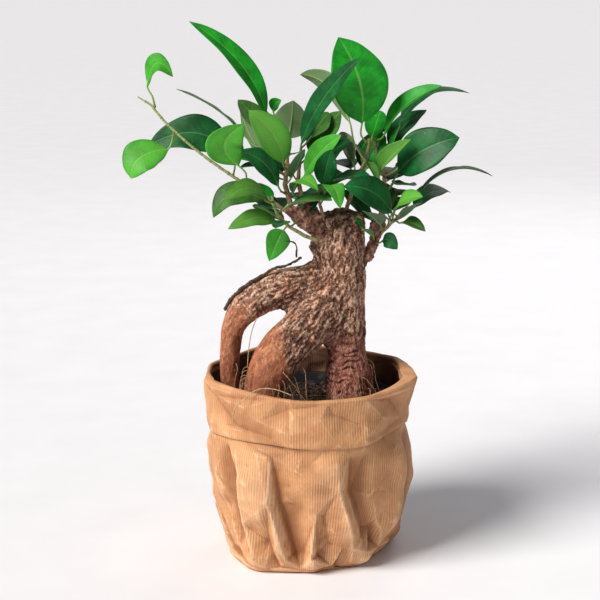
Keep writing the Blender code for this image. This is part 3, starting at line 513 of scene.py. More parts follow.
def bark_look():
    look = Look("ficus_bark_look", roughness=0.85, specular=0.3)
    relief = look.read("relief")
    low = look.read("low")
    smooth = look.read("skin")
    fine = look.noise(0.0011, 4.0, (1.0, 1.0, 0.45))
    wide = look.noise(0.009, 3.0, (1.0, 1.0, 0.6))
    tiny = look.noise(0.00055, 3.0, (1.0, 1.0, 0.6))
    grain = relief * 0.52 + fine * 0.56 + tiny * 0.52 - 0.29
    colour = grain.ramp((0.26, 0.020, 0.009, 0.006), (0.43, 0.115, 0.052, 0.032),
                        (0.55, 0.300, 0.165, 0.108), (0.68, 0.660, 0.455, 0.335))
    tint = wide.ramp((0.30, 0.62, 0.60, 0.60), (0.50, 1.0, 0.97, 0.94), (0.70, 1.22, 1.00, 0.86))
    colour = colour.mixed(0.8, tint, "MULTIPLY").mixed(low * 0.75, (1.0, 0.74, 0.62), "MULTIPLY")
    # smooth red-brown skin of the swollen roots
    skin = look.noise(0.0050, 5.0).ramp((0.25, 0.200, 0.056, 0.022), (0.50, 0.370, 0.120, 0.044),
                                        (0.72, 0.520, 0.200, 0.080))
    skin = skin.mixed(fine.spread(0.50, 0.78) * 0.55, (0.66, 0.36, 0.19))
    skin = skin.mixed(relief.spread(0.48, 0.20) * 0.55, (0.130, 0.034, 0.016))
    skin = skin.mixed(low * 0.6, (0.230, 0.060, 0.034))
    skin = skin.mixed(look.noise(0.0009, 2.0).spread(0.60, 0.75) * 0.6, (0.60, 0.37, 0.23))
    red = grain.ramp((0.27, 0.035, 0.012, 0.009), (0.48, 0.255, 0.082, 0.056), (0.67, 0.600, 0.330, 0.230))
    colour = colour.mixed(smooth, skin).mixed(look.read("red"), red)
    rings = look.math("SINE", look.read("ring") * 5600.0) * 0.18 + fine
    wood = rings.ramp((0.25, 0.085, 0.050, 0.032), (0.6, 0.260, 0.170, 0.110), (0.85, 0.33, 0.23, 0.155))
    colour = colour.mixed(look.read("cut"), wood)
    # painted shade: the hollows are coloured near-black
    colour = colour.mixed(look.read("hollow") * 0.88, (0.012, 0.007, 0.006))
    colour = colour.mixed(look.read("earth") * wide.spread(0.25, 0.6), (0.040, 0.024, 0.016))
    look.bump(fine + look.noise(0.0005, 2.0) * 0.4, 0.00045)
    return look.done(colour, smooth.between(0.86, 0.62))


def young_bark_look():
    look = Look("young_bark_look", roughness=0.78, specular=0.35)
    fine = look.noise(0.0010, 4.0)
    grain = look.read("relief") * 0.6 + fine * 0.45
    look.bump(fine, 0.0004)
    return look.done(grain.ramp((0.26, 0.018, 0.008, 0.006), (0.44, 0.120, 0.050, 0.032),
                                (0.60, 0.250, 0.120, 0.078), (0.76, 0.520, 0.340, 0.230)))


def shoot_look(name, young, old, scar):
    look = Look(name, roughness=0.55, specular=0.45)
    fine = look.noise(0.0012, 3.0, (1, 1, 0.5))
    colour = look.mix(look.read("along").spread(0.1, 0.95), old, young)
    colour = colour.mixed(fine.spread(0.35, 0.7), scar)
    colour = colour.mixed(look.noise(0.0013, 1.0).spread(0.66, 0.74) * 0.5, (0.46, 0.36, 0.22))
    look.bump(fine, 0.00025)
    return look.done(colour.mixed(look.read("node") * 0.7, (0.13, 0.055, 0.025)))


def paper_look():
    look = Look("kraft_paper_look", roughness=0.72, specular=0.35)
    crease = look.read("crease")
    fold = look.read("fold")
    fibre = look.noise(0.0011, 4.0, (1, 1, 0.35))
    mottle = look.noise(0.016, 4.0)
    # fine upright ribs, fainter in places
    turn = look.math("ARCTAN2", look.axis(1), look.axis(0))
    ribs = (look.math("SINE", turn * RIBS_ROUND) + 1.0) * 0.5
    ribs = ribs * look.noise(0.020).spread(0.3, 0.7).between(0.35, 1.0)
    colour = mottle.ramp((0.28, 0.520, 0.245, 0.108), (0.50, 0.610, 0.308, 0.140),
                         (0.72, 0.700, 0.375, 0.185))
    colour = colour.mixed(ribs * 0.68, (0.31, 0.128, 0.050))
    colour = colour.mixed(fibre.spread(0.55, 0.75) * 0.25, (0.80, 0.52, 0.30))
    colour = colour.mixed(fibre.spread(0.45, 0.28) * 0.22, (0.36, 0.17, 0.075))
    # paler where worn along the crease ridges; painted shade in the crease and fold valleys, painted
    # highlight on the outward folds
    colour = colour.mixed(crease.spread(0.35, 1.0) * 0.34, (0.86, 0.62, 0.40))
    colour = colour.mixed((crease * -1.0).spread(0.30, 1.0) * 0.45, (0.24, 0.100, 0.042))
    colour = colour.mixed(fold.spread(-0.02, -0.75) * 0.66, (0.280, 0.105, 0.036))
    colour = colour.mixed(fold.spread(0.25, 1.0) * 0.30, (0.82, 0.54, 0.33))
    # painted shade on the bag's inner wall, darker below the rim
    painted_inner_shade = look.read("inside") * mottle.spread(-0.2, 0.5)
    colour = colour.mixed(painted_inner_shade * 0.94, (0.075, 0.030, 0.016))
    # small dents between the modelled folds
    dents = look.cells(0.0058) * 1.5 + look.cells(0.0125) * 3.4
    look.bump(ribs * 0.6 + fibre * 0.6 + dents, 0.00024)
    return look.done(colour, fibre.between(0.55, 0.85))


def pot_look():
    look = Look("pot_plastic_look", roughness=0.5, specular=0.3)
    dust = look.noise(0.004, 4.0).spread(0.52, 0.72)
    look.bump(look.noise(0.002, 4.0, (1, 1, 4)), 0.00008)
    colour = look.mix(dust * 0.5, (0.011, 0.011, 0.012), (0.055, 0.042, 0.032))
    return look.done(colour, dust.between(0.34, 0.75))


def soil_look():
    look = Look("potting_mix_look", roughness=0.95, specular=0.2)
    grains = look.node("ShaderNodeSeparateColor", {0: look.cells(0.0016, "Color")})
    clods = look.noise(0.006, 4.0)
    mix = grains * 0.5 + clods * 0.6
    colour = mix.ramp((0.25, 0.010, 0.006, 0.004), (0.50, 0.040, 0.024, 0.016),
                      (0.72, 0.095, 0.055, 0.034), (0.9, 0.22, 0.14, 0.085))
    look.bump(look.cells(0.0011) + clods, 0.0006)
    return look.done(colour.mixed(look.read("moss") * clods.spread(0.3, 0.55), (0.060, 0.085, 0.018)))


def crumb_look():
    look = Look("soil_crumbs_look", roughness=0.92, specular=0.2)
    fine = look.noise(0.0008)
    colour = look.read("tone").ramp((0.0, 0.012, 0.007, 0.005), (0.45, 0.050, 0.029, 0.018),
                                    (0.75, 0.170, 0.090, 0.050), (0.92, 0.36, 0.25, 0.15),
                                    (1.0, 0.07, 0.10, 0.02))
    look.bump(fine, 0.0003)
    return look.done(colour.scaled(fine.between(0.6, 1.5)))


def dry_look(name, dark, light, size):
    look = Look(name, roughness=0.85, specular=0.3)
    grain = look.noise(size, 4.0)
    look.bump(grain, 0.0003)
    return look.done(grain.ramp((0.32, *dark), (0.66, *light)))


# ---------------------------------------------------------------- leaves

# where the CAD blade's rows lie, as shares of its length, and the fine blade's points each way
BLADE_SHARES = (0.0, 0.10, 0.26, 0.43, 0.60, 0.77, 0.91, 1.0)
LEAF_LENGTHWISE = 44
LEAF_CROSSWISE = 19
BLADE_THICKNESS = 0.34 * MM
# raised midrib under the blade: share of the blade's length, radius in mm
MIDRIB = ((0.12, 0.50), (0.28, 0.42), (0.46, 0.34), (0.64, 0.26), (0.80, 0.18), (0.92, 0.11))


def arrangement(ring, points):
    """A blade ring's width, and the ring from its left margin over the middle, underside last."""
    best = None
    for k in range(6):
        turned = ring[k:] + ring[:k]
        width = np.linalg.norm(points[turned[0]] - points[turned[4]])
        if best is None or width > best[0]:
            best = (width, turned)
    return best


def matched(ring, points, like):
    """The ring turned, or turned over, so that its outline lies most like another's."""
    def outline(order):
        corners = points[order]
        corners = corners - corners.mean(axis=0)
        return corners / np.linalg.norm(corners)
    goal = outline(like)
    options = []
    for order in (ring, ring[::-1]):
        for k in range(6):
            turned = order[k:] + order[:k]
            options.append((np.linalg.norm(outline(turned) - goal), turned))
    return min(options, key=lambda option: option[0])[1]


def blade_controls(points, rings):
    """Seven rows of six points each, the foot's row first."""
    blade = rings[3:10]
    widest = max(range(len(blade)), key=lambda i: arrangement(blade[i], points)[0])
    rows = [None] * len(blade)
    rows[widest] = arrangement(blade[widest], points)[1]
    for i in range(widest + 1, len(blade)):
        rows[i] = matched(blade[i], points, rows[i - 1])
    for i in range(widest - 1, -1, -1):
        rows[i] = matched(blade[i], points, rows[i + 1])
    return np.array([points[row] for row in rows])


def spread_of(ring, points):
    corners = points[ring]
    return np.linalg.norm(corners - corners.mean(axis=0), axis=1).max()


def cad_leaf(name):
    """A CAD leaf's blade rows, tip and stalk points."""
    points, faces = welded(name)
    rings = rings_of(points, faces)
    if spread_of(rings[1], points) > spread_of(rings[-2], points):
        rings = rings[::-1]
    centres = [points[ring].mean(axis=0) for ring in rings[1:4]]
    return blade_controls(points, rings), points[rings[-1][0]], [points[rings[0][0]], *centres]


def fine_leaf(controls, tip, stem, seed):
    """Blade and stalk of one leaf: points, faces and the numbers that its material reads."""
    chance = random.Random(seed)
    rows = np.concatenate([controls[:, :5], np.repeat(tip[None, None], 5, axis=1)])
    even = np.linspace(0, 1, LEAF_LENGTHWISE)
    along = (0.45 * even + 0.55 * (0.5 - 0.5 * np.cos(math.pi * even))) * 0.996
    lines = through(BLADE_SHARES, rows, along)
    half = np.linspace(-1, 1, LEAF_CROSSWISE)
    across = np.sign(half) * np.abs(half) ** 1.35
    out = np.abs(across)[None]
    reach = out[..., None]
    on_left = across[None, :, None] < 0
    margin = np.where(on_left, lines[:, None, 0], lines[:, None, 4])
    quarter = np.where(on_left, lines[:, None, 1], lines[:, None, 3])
    middle = lines[:, None, 2]
    top = middle * (2 * (reach - 0.5) * (reach - 1)) + quarter * (4 * reach * (1 - reach))
    top = top + margin * (2 * reach * (reach - 0.5))
    upward = controls[:, 2].mean(axis=0) - controls[:, 5].mean(axis=0)
    facing = blade_normals(top, upward)
    half_width = np.linalg.norm(lines[:, 0] - lines[:, 4], axis=1)[:, None] / 2
    body = np.sin(math.pi * along)[:, None] ** 0.6
    waves = chance.uniform(1.4, 2.6)
    left = np.sin(2 * math.pi * waves * along + chance.uniform(0, 6))[:, None]
    right = np.sin(2 * math.pi * waves * along + chance.uniform(0, 6))[:, None]
    wave = np.where(across[None] < 0, left, right) * out ** 2.2
    lift = wave * body * half_width * chance.uniform(0.035, 0.075)
    groove = np.exp(-(across[None] * half_width / (0.5 * MM)) ** 2) * 0.14 * MM * body
    pucker = 0.035 * MM * np.sin(2 * math.pi * (13 * along[:, None] - 1.9 * out))
    pucker = pucker * body * np.clip(half_width / (8 * MM), 0, 1) * (1 - out ** 3)
    top = top + facing * (lift - groove + pucker)[..., None]
    thick = BLADE_THICKNESS * (1 - 0.6 * out) * np.clip(half_width / (1.2 * MM), 0.25, 1)
    bottom = top - facing * thick[..., None]
    blade, faces = shell(top, bottom)
    stalk, stalk_faces, stalk_along = leaf_stalk(stem, bottom, facing, along)
    points, faces = joined([(blade, faces), (stalk, stalk_faces)])
    rest = np.zeros(len(stalk))
    tags = {
        "along": np.concatenate([np.tile(np.repeat(along, LEAF_CROSSWISE), 2), stalk_along]),
        "across": np.concatenate([np.tile(np.tile(across, LEAF_LENGTHWISE), 2), rest]),
        "under": np.concatenate([np.repeat([0.0, 1.0], len(blade) // 2), rest + 1]),
        "stalk": np.concatenate([np.zeros(len(blade)), rest + 1]),
        "tone": np.full(len(points), 0.78 + chance.uniform(0, 0.26)),
    }
    return points, faces, tags


def blade_normals(grid, upward):
    facing = unit(np.cross(np.gradient(grid, axis=0), np.gradient(grid, axis=1)))
    return -facing if facing.mean(axis=(0, 1)) @ upward < 0 else facing


def shell(top, bottom):
    """A closed sheet from a grid of points on each face."""
    rows, columns = top.shape[:2]
    count = rows * columns
    faces = []
    for i in range(rows - 1):
        for j in range(columns - 1):
            a = i * columns + j
            b = a + columns
            faces.append((a, a + 1, b + 1, b))
            faces.append((count + a, count + b, count + b + 1, count + a + 1))
        for j in (0, columns - 1):
            a = i * columns + j
            b = a + columns
            faces.append((a, b, count + b, count + a) if j == 0 else (b, a, count + a, count + b))
    for j in range(columns - 1):
        last = (rows - 1) * columns + j
        faces.append((j + 1, j, count + j, count + j + 1))
        faces.append((last, last + 1, count + last + 1, count + last))
    return np.concatenate([top.reshape(-1, 3), bottom.reshape(-1, 3)]), faces


def leaf_stalk(stem, bottom, facing, along):
    """The stalk, carried on under the blade as its raised midrib."""
    into = unit(stem[0] - stem[1])
    path = [stem[0] + into * 1.1 * MM, *stem]
    radii = [0.80, 0.72, 0.60, 0.56, 0.56]
    shares = [-1.0, -0.9, -0.7, -0.35, 0.0]
    middle = bottom.shape[1] // 2
    for share, radius in MIDRIB:
        row = int(np.argmin(np.abs(along - share)))
        path.append(bottom[row, middle] - facing[row, middle] * radius * MM * 0.25)
        radii.append(radius)
        shares.append(share)
    lengths = lengths_along(path)
    at = np.linspace(0, lengths[-1], 40)
    made, faces = tube(through(lengths, path, at), np.interp(at, lengths, radii) * MM, 8)
    share = np.interp(at, lengths, shares)
    share = np.concatenate([[share[0]], np.repeat(share, 8), [share[-1]]])
    return made, faces, share


# leaves of the inner crown, past the solids that the frame has room for: shoot, share of its
# height, heading and rise in degrees (0 is +X, 90 is the rear), blade length and width in mm,
# how far it arches down, finish
INNER_LEAVES = (
    ("shoot_left_rear", 0.70, 30, 50, 38, 19, 0.10, "leaf_olive"),
    ("shoot_left_rear", 0.50, 22, 32, 35, 17, 0.15, "leaf_deep"),
    ("shoot_left_rear", 0.92, 50, 32, 24, 16, 0.05, "leaf_olive"),
    ("twig_trunk_top", 0.88, -28, 22, 26, 17, 0.25, "leaf_deep"),
    ("shoot_right", 0.42, 28, 8, 24, 15, 0.10, "leaf_deep"),
    ("shoot_right", 0.58, -14, 38, 34, 13, 0.10, "leaf_olive"),
    ("shoot_right", 0.26, 32, -12, 22, 14, 0.10, "leaf_deep"),
    ("shoot_right", 0.72, -48, 62, 22, 9, 0.05, "leaf_bright"),
    ("shoot_left_front", 0.66, 138, 46, 38, 19, 0.10, "leaf_olive"),
    ("shoot_left_front", 0.55, 152, 14, 25, 15, 0.15, "leaf_deep"),
    ("shoot_centre", 0.80, -30, -42, 24, 14, 0.00, "leaf_olive"),
    ("shoot_centre", 0.50, 105, 22, 30, 16, 0.15, "leaf_deep"),
    ("shoot_centre", 0.88, 72, 42, 26, 14, 0.10, "leaf_bright"),
    ("shoot_left_rear", 0.30, 120, 6, 27, 15, 0.20, "leaf_deep"),
    ("shoot_right", 0.80, 84, 36, 27, 14, 0.10, "leaf_deep"),
    ("shoot_left_front", 0.40, 215, 20, 26, 13, 0.10, "leaf_bright"),
)
# more of them, placed by chance where there is room: how many, out of how many tries, and the part of
# the CAD's box that they keep to, as shares of its width, depth and height
MORE_LEAVES, MORE_TRIES = 24, 400
CROWN_SIDES, CROWN_DEPTH = (0.28, 0.82), (0.05, 0.95)
CROWN_TOP = 0.80
# half width of an inner leaf at each share of its length, as a share of the widest
HALF_WIDTHS = (0.06, 0.50, 0.86, 1.0, 0.92, 0.68, 0.36)
# its upper face from margin to margin: place and lift, as shares of the half width
BLADE_SECTION = ((-1, 0.22), (-0.5, 0.07), (0, 0), (0.5, 0.07), (1, 0.22))
# turns and tilts in degrees that an inner leaf tries until it is clear of every other
TURNS = ((0, 0), (9, 0), (-9, 0), (0, 10), (0, -10), (16, 8), (-16, 8), (16, -8), (-16, -8),
         (26, 0), (-26, 0), (34, 14), (-34, 14))


def shoot_spot(name, share):
    """The middle of a shoot at a share of its height."""
    points, _ = welded(name)
    low, high = points[:, 2].min(), points[:, 2].max()
    level = low + (high - low) * share
    away = np.abs(points[:, 2] - level)
    return points[away <= max(2.5 * MM, away.min())].mean(axis=0)


def inner_leaf(spot, heading, rise, length, width, arch):
    """Blade rows, tip and stalk of a leaf that leaves a shoot at a spot."""
    heading, rise = math.radians(heading), math.radians(rise)
    flat = np.array((math.cos(heading), math.sin(heading), 0.0))
    up = np.array((0.0, 0.0, 1.0))
    ahead = flat * math.cos(rise) + up * math.sin(rise)
    stem = [spot + flat * t * 8 * MM + up * t * (1 + t) * 2.5 * MM for t in (0.08, 0.4, 0.75, 1.0)]
    base = stem[-1] + ahead * 0.5 * MM
    rows = []
    line = [base + (ahead * s - up * arch * s * s) * length * MM for s in BLADE_SHARES]
    for i, wide in enumerate(HALF_WIDTHS):
        forward = unit(line[i + 1] - line[i])
        side = unit(np.cross(forward, up + np.array((0.0, -0.5, 0.0)) * math.sin(abs(rise))))
        face = unit(np.cross(side, forward))
        half = wide * width / 2 * MM
        upper = [line[i] + side * half * out + face * half * lift for out, lift in BLADE_SECTION]
        rows.append([*upper, line[i] - face * 0.6 * MM])
    return np.array(rows), line[-1], stem


# how far a leaf's green turns to yellow
WARMTH = {
    "leaf_bright_front": 1.0, "leaf_round_left": 0.55, "leaf_long_end": 0.6, "leaf_light_right": 0.9,
    "leaf_hanging": 0.3, "leaf_long_tip": 0.35, "leaf_front_light": 0.7, "leaf_droop_mid": 0.5,
    "leaf_upright_mid": 0.4, "leaf_olive_left": 0.5, "leaf_light_left": 0.6, "leaf_narrow_right": 0.5,
}


def leaf_piece(name, parts, looks, nodes, slot):
    points, faces, tags = parts
    warm = np.full(len(points), WARMTH.get(name.removesuffix("_blade"), 0.02))
    piece(name, (points, faces), looks[slot], nodes, slot, **tags, warm=warm)


def top_face(points):
    """A blade's upper face at a coarser grid, with its lowest and highest corners."""
    grid = points[:LEAF_LENGTHWISE * LEAF_CROSSWISE].reshape(LEAF_LENGTHWISE, LEAF_CROSSWISE, 3)
    grid = np.concatenate([grid[:-1:3, ::3], grid[-1:, ::3]])
    rows, columns = grid.shape[:2]
    faces = [(i * columns + j, i * columns + j + 1, (i + 1) * columns + j + 1, (i + 1) * columns + j)
             for i in range(rows - 1) for j in range(columns - 1)]
    flat = grid.reshape(-1, 3)
    return surface_of(flat, faces), flat.min(axis=0), flat.max(axis=0)


def crossing(one, other):
    apart = (one[1] > other[2]).any() or (other[1] > one[2]).any()
    return not apart and bool(one[0].overlap(other[0]))


def build_leaves():
    under = (0.120, 0.200, 0.085)
    looks = {
        "leaf_bright": leaf_look("leaf_bright_look", (0.002, 0.160, 0.009), (0.007, 0.300, 0.014), under,
                                 (0.21, 0.45, 0.09)),
        # the deep green is partly the leaves' own dark green and partly painted shade
        "leaf_deep": leaf_look("leaf_deep_look", (0.002, 0.060, 0.014), (0.005, 0.125, 0.026),
                               (0.095, 0.150, 0.085), (0.11, 0.28, 0.09)),
        "leaf_olive": leaf_look("leaf_olive_look", (0.022, 0.095, 0.014), (0.060, 0.185, 0.028), under,
                                (0.22, 0.36, 0.11)),
    }
    names = sorted(node for node, slot in SLOTS.items() if slot in looks)
    blades = []
    for seed, name in enumerate(names):
        parts = fine_leaf(*cad_leaf(name), seed)
        blades.append(top_face(parts[0]))
        leaf_piece(name + "_blade", parts, looks, [name], SLOTS[name])
    for k, (shoot, share, heading, rise, length, width, arch, slot) in enumerate(INNER_LEAVES):
        spot = shoot_spot(shoot, share)
        for turn, tilt in TURNS:
            shape = inner_leaf(spot, heading + turn, rise + tilt, length, width, arch)
            parts = fine_leaf(*shape, 100 + k)
            if has_room(parts, blades):
                leaf_piece(f"inner_leaf_{k + 1}", parts, looks, [], slot)
                break
    add_more_leaves(looks, blades)


def has_room(parts, blades):
    """Whether a leaf is clear of every blade so far; if it is, its blade joins them."""
    mine = top_face(parts[0])
    if any(crossing(mine, other) for other in blades):
        return False
    blades.append(mine)
    return True


def add_more_leaves(looks, blades):
    chance = random.Random(41)
    shoots = sorted(node for node in SLOTS if node.startswith("shoot_"))
    size = CAD_HIGH - CAD_LOW
    placed = 0
    for k in range(MORE_TRIES):
        if placed == MORE_LEAVES:
            break
        spot = shoot_spot(chance.choice(shoots), chance.uniform(0.25, 0.92))
        length = chance.uniform(21, 35)
        shape = inner_leaf(spot, chance.uniform(0, 360), chance.uniform(-5, 60), length,
                           length * chance.uniform(0.42, 0.60), chance.uniform(0.03, 0.22))
        slot = chance.choice(("leaf_deep", "leaf_deep", "leaf_olive", "leaf_olive", "leaf_bright"))
        x, y, z = (shape[1] - CAD_LOW) / size
        inside = CROWN_SIDES[0] < x < CROWN_SIDES[1] and CROWN_DEPTH[0] < y < CROWN_DEPTH[1] and z < CROWN_TOP
        if not inside:
            continue
        parts = fine_leaf(*shape, 300 + k)
        if has_room(parts, blades):
            placed += 1
            leaf_piece(f"inner_leaf_{len(INNER_LEAVES) + placed}", parts, looks, [], slot)


# ---------------------------------------------------------------- trunk and roots

TRUNK_LOW, TRUNK_HIGH = (np.array(corner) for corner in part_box("trunk"))
# size of the even faces that each skin is remade with
TRUNK_GRID, STUB_GRID, SHOOT_GRID, SOIL_GRID = 0.62 * MM, 0.45 * MM, 0.33 * MM, 0.85 * MM


def trunk_at(x, y, z):
    """A place in the trunk's box, each share from 0 at its low side to 1 at its high side."""
    return TRUNK_LOW + (TRUNK_HIGH - TRUNK_LOW) * np.array((x, y, z))


# hollows and knots: place in the trunk's box, radius and depth in mm
HOLLOWS = (
    ((0.595, 0.36, 0.862), 6.0, 2.2), ((0.795, 0.24, 0.800), 3.6, 2.4), ((0.690, 0.22, 0.580), 3.0, 1.6),
    ((0.745, 0.24, 0.640), 2.6, 1.4), ((0.800, 0.27, 0.555), 2.2, 1.2), ((0.560, 0.30, 0.700), 3.4, 1.2),
    ((0.860, 0.55, 0.430), 3.4, 1.3), ((0.720, 0.78, 0.700), 4.0, 1.6), ((0.870, 0.74, 0.560), 3.0, 1.4),
    ((0.300, 0.66, 0.660), 3.0, 1.0), ((0.640, 0.74, 0.860), 4.0, 1.6), ((0.745, 0.24, 0.950), 3.2, 2.4),
    ((0.830, 0.20, 0.905), 2.8, 2.0), ((0.660, 0.25, 0.900), 2.6, 1.8), ((0.800, 0.50, 1.000), 4.0, 1.8),
)
# burrs: place, radius and height in mm
BURRS = (
    ((0.600, 0.30, 0.885), 7.0, 1.4), ((0.800, 0.18, 0.775), 5.0, 1.1), ((0.700, 0.20, 0.900), 6.0, 1.2),
    ((0.900, 0.36, 0.840), 6.0, 1.0), ((0.560, 0.40, 0.760), 7.0, 1.3), ((0.760, 0.20, 0.500), 8.0, 0.9),
    ((0.880, 0.66, 0.700), 8.0, 1.3), ((0.660, 0.80, 0.560), 9.0, 1.4), ((0.690, 0.34, 0.975), 7.0, 2.2),
    ((0.860, 0.32, 0.970), 6.5, 2.0), ((0.930, 0.60, 0.985), 7.0, 1.8), ((0.760, 0.72, 0.990), 8.0, 2.0),
    ((0.600, 0.42, 0.930), 7.0, 2.2), ((0.780, 0.22, 0.900), 6.0, 1.6),
)


def build_trunk():
    points, faces = welded("trunk")
    points, normals, faces = fine_skin(points, faces, TRUNK_GRID, 10)
    axes = grain_axes(points, normals, 13 * MM)
    x, y, z = ((points - TRUNK_LOW) / (TRUNK_HIGH - TRUNK_LOW)).T
    sway = rough(points, 9 * MM, 4) * 0.03
    # swollen smooth skin on the arch's leg and on the end of the middle root
    leg = (1 - smoothstep(0.14, 0.24, x + sway)) * (1 - smoothstep(0.56, 0.66, z + sway))
    edge = x - 0.34 * (0.5 - z) + sway * 0.5 + rough(points, 2.5 * MM, 5) * 0.008
    toe = (1 - smoothstep(0.380, 0.430, edge)) * (1 - smoothstep(0.50, 0.60, z))
    toe = toe * (1 - smoothstep(0.42, 0.52, y))
    skin = np.maximum(leg, toe)
    red = smoothstep(0.62, 0.70, x) * (1 - smoothstep(0.42, 0.52, z + sway))
    cut = smoothstep(0.975, 0.992, z) * smoothstep(0.55, 0.85, normals[:, 2])
    flutes = streaks(points, axes, 5.5 * MM, 14 * MM, 11)
    flakes = streaks(points, axes, 1.25 * MM, 1.7 * MM, 23)
    chips = rough(points, 0.95 * MM, 31)
    lumps = rough(points, 11 * MM, 7)
    calm = 1 - 0.86 * skin
    flaky = np.sign(flakes) * np.abs(flakes) ** 0.8
    height = lumps * 0.8 * (1 - 0.5 * skin) + flutes * 0.75 * calm * (1 - 0.6 * red)
    height += flaky * 0.54 * calm * (1 - 0.55 * red) + chips * 0.24 * (1 - 0.6 * skin)
    crown = smoothstep(0.86, 0.97, z)
    knobs = rough(points, 3.6 * MM, 51)
    height += crown * (1.5 * knobs + 0.7 * rough(points, 1.9 * MM, 52))
    # wrinkles round the right-hand root
    girth = points[:, 2] / MM + 4.2 * rough(points, 9 * MM, 41) + 2.4 * rough(points, 3.5 * MM, 42)
    wrinkle = np.abs(np.mod(girth / 4.4, 1.0) - 0.5) * 2
    deep = np.clip(0.35 + 1.1 * rough(points, 5 * MM, 43), 0, 1)
    wrinkled = (1 - smoothstep(0.0, 0.5, wrinkle)) * red * deep
    height -= wrinkled * 0.95
    hollow = np.zeros(len(points))
    for place, radius, depth in HOLLOWS:
        dip = near(points, trunk_at(*place), radius * MM)
        height -= dip * depth
        hollow = np.maximum(hollow, dip)
    for place, radius, rise in BURRS:
        knob = near(points, trunk_at(*place), radius * MM)
        height += knob * rise * (0.6 + 0.6 * chips)
    height += 0.45 * (1 - skin) * (1 - red)
    points = raised(points, normals, height)
    tone = flaky * 0.55 + chips * 0.45 + flutes * 0.25
    tone *= 1 - 0.5 * red
    tone -= wrinkled * 0.9
    tone += crown * 0.5 * knobs
    centre = trunk_at(0.80, 0.53, 1.0)
    piece("trunk_wood", (points, faces), bark_look(), ["trunk"], SLOTS["trunk"],
          relief=np.clip(0.5 + tone * 0.50, 0, 1),
          skin=skin * np.clip(0.82 + 0.3 * lumps, 0, 1),
          red=red,
          cut=cut * np.clip(0.45 + 0.9 * knobs, 0, 1),
          hollow=smoothstep(0.25, 0.85, hollow),
          ring=np.hypot(points[:, 0] - centre[0], points[:, 1] - centre[1]),
          earth=1 - smoothstep(0.14, 0.24, z),
          low=1 - smoothstep(0.22, 0.50, z + sway))
    return surface_of(points, faces)


def build_stubs(wood):
    look = young_bark_look()
    for seed, name in enumerate(("left_stub", "right_stub")):
        points, faces = welded(name)
        points, normals, faces = fine_skin(points, faces, STUB_GRID, 4)
        points = sunk(points, wood, 0.9 * MM, 1.2 * MM)
        knobs = rough(points, 3.4 * MM, 60 + seed)
        warts = rough(points, 1.5 * MM, 70 + seed)
        grit = rough(points, 0.8 * MM, 80 + seed)
        height = 1.15 * knobs + 0.60 * np.abs(warts) ** 0.7 * np.sign(warts) + 0.20 * grit
        piece(name + "_wood", (raised(points, normals, height), faces), look, [name], SLOTS[name],
              relief=np.clip(0.5 + 0.25 * knobs + 0.3 * warts + 0.15 * grit, 0, 1))


def build_shoots(wood):
    looks = {
        "brown_shoot": shoot_look("brown_shoot_look", (0.26, 0.20, 0.075), (0.20, 0.11, 0.055),
                                  (0.32, 0.21, 0.12)),
        "green_shoot": shoot_look("green_shoot_look", (0.25, 0.36, 0.10), (0.24, 0.20, 0.075),
                                  (0.33, 0.38, 0.16)),
    }
    names = sorted(node for node, slot in SLOTS.items() if slot in looks)
    for seed, name in enumerate(names):
        points, faces = welded(name)
        points, normals, faces = fine_skin(points, faces, SHOOT_GRID, 2)
        base, share = shoot_share(points, wood)
        # leaf scars ring the stem every few millimetres
        scar = 1 - smoothstep(0.0, 0.14, np.abs(np.mod(base / (6.5 * MM) + 0.3 * seed, 1.0) - 0.5) * 2)
        height = 0.16 * rough(points, 2.2 * MM, 90 + seed) + 0.20 * scar + 0.06 * rough(points, 0.8 * MM, 91)
        points = sunk(raised(points, normals, height), wood, 0.8 * MM, 1.1 * MM)
        piece(name + "_stem", (points, faces), looks[SLOTS[name]], [name], SLOTS[name],
              along=share, node=scar)


def shoot_share(points, wood):
    """Distance of each point from the stem's foot, and its share of the whole."""
    distances = [wood.find_nearest(Vector(p))[3] for p in points[::7]]
    foot = points[::7][int(np.argmin(distances))]
    base = np.linalg.norm(points - foot, axis=1)
    return base, base / base.max()


def build_strands():
    looks = {
        "dead_root": dry_look("dead_root_look", (0.018, 0.011, 0.008), (0.120, 0.070, 0.045), 0.0011),
        "root_fibre": dry_look("root_fibre_look", (0.30, 0.19, 0.09), (0.60, 0.46, 0.28), 0.0009),
    }
    for seed, name in enumerate(("dead_root", "dry_twig", "hanging_fibre", "rim_fibre")):
        points, faces = welded(name)
        rings = rings_of(points, faces)
        centres = [points[ring].mean(axis=0) for ring in rings[1:-1]]
        width = [spread_of(ring, points) for ring in rings[1:-1]]
        if width[0] < width[-1]:
            centres, width = centres[::-1], width[::-1]
        woody = SLOTS[name] == "dead_root"
        path, share = resampled(centres, 0.45 * MM)
        thick = np.interp(share, np.linspace(0, 1, len(width)), width)
        if woody:
            sides = 14
            path = path + 0.25 * MM * np.stack([rough(path, 3 * MM, k) for k in (1, 2, 3)], axis=1)
            made, quads = tube(path, thick, sides)
            centre = np.concatenate([[path[0]], np.repeat(path, sides, axis=0), [path[-1]]])
            knobs = 0.35 * rough(made, 1.3 * MM, seed) * np.median(thick)
            made = made + unit(made - centre) * knobs[:, None]
        else:
            made, quads = tube(path, thick, 8)
        piece(name + "_strand", (made, quads), looks[SLOTS[name]], [name], SLOTS[name])


# ---------------------------------------------------------------- paper bag

BAG_COLUMNS = 46
FINE_PER_COLUMN = 8
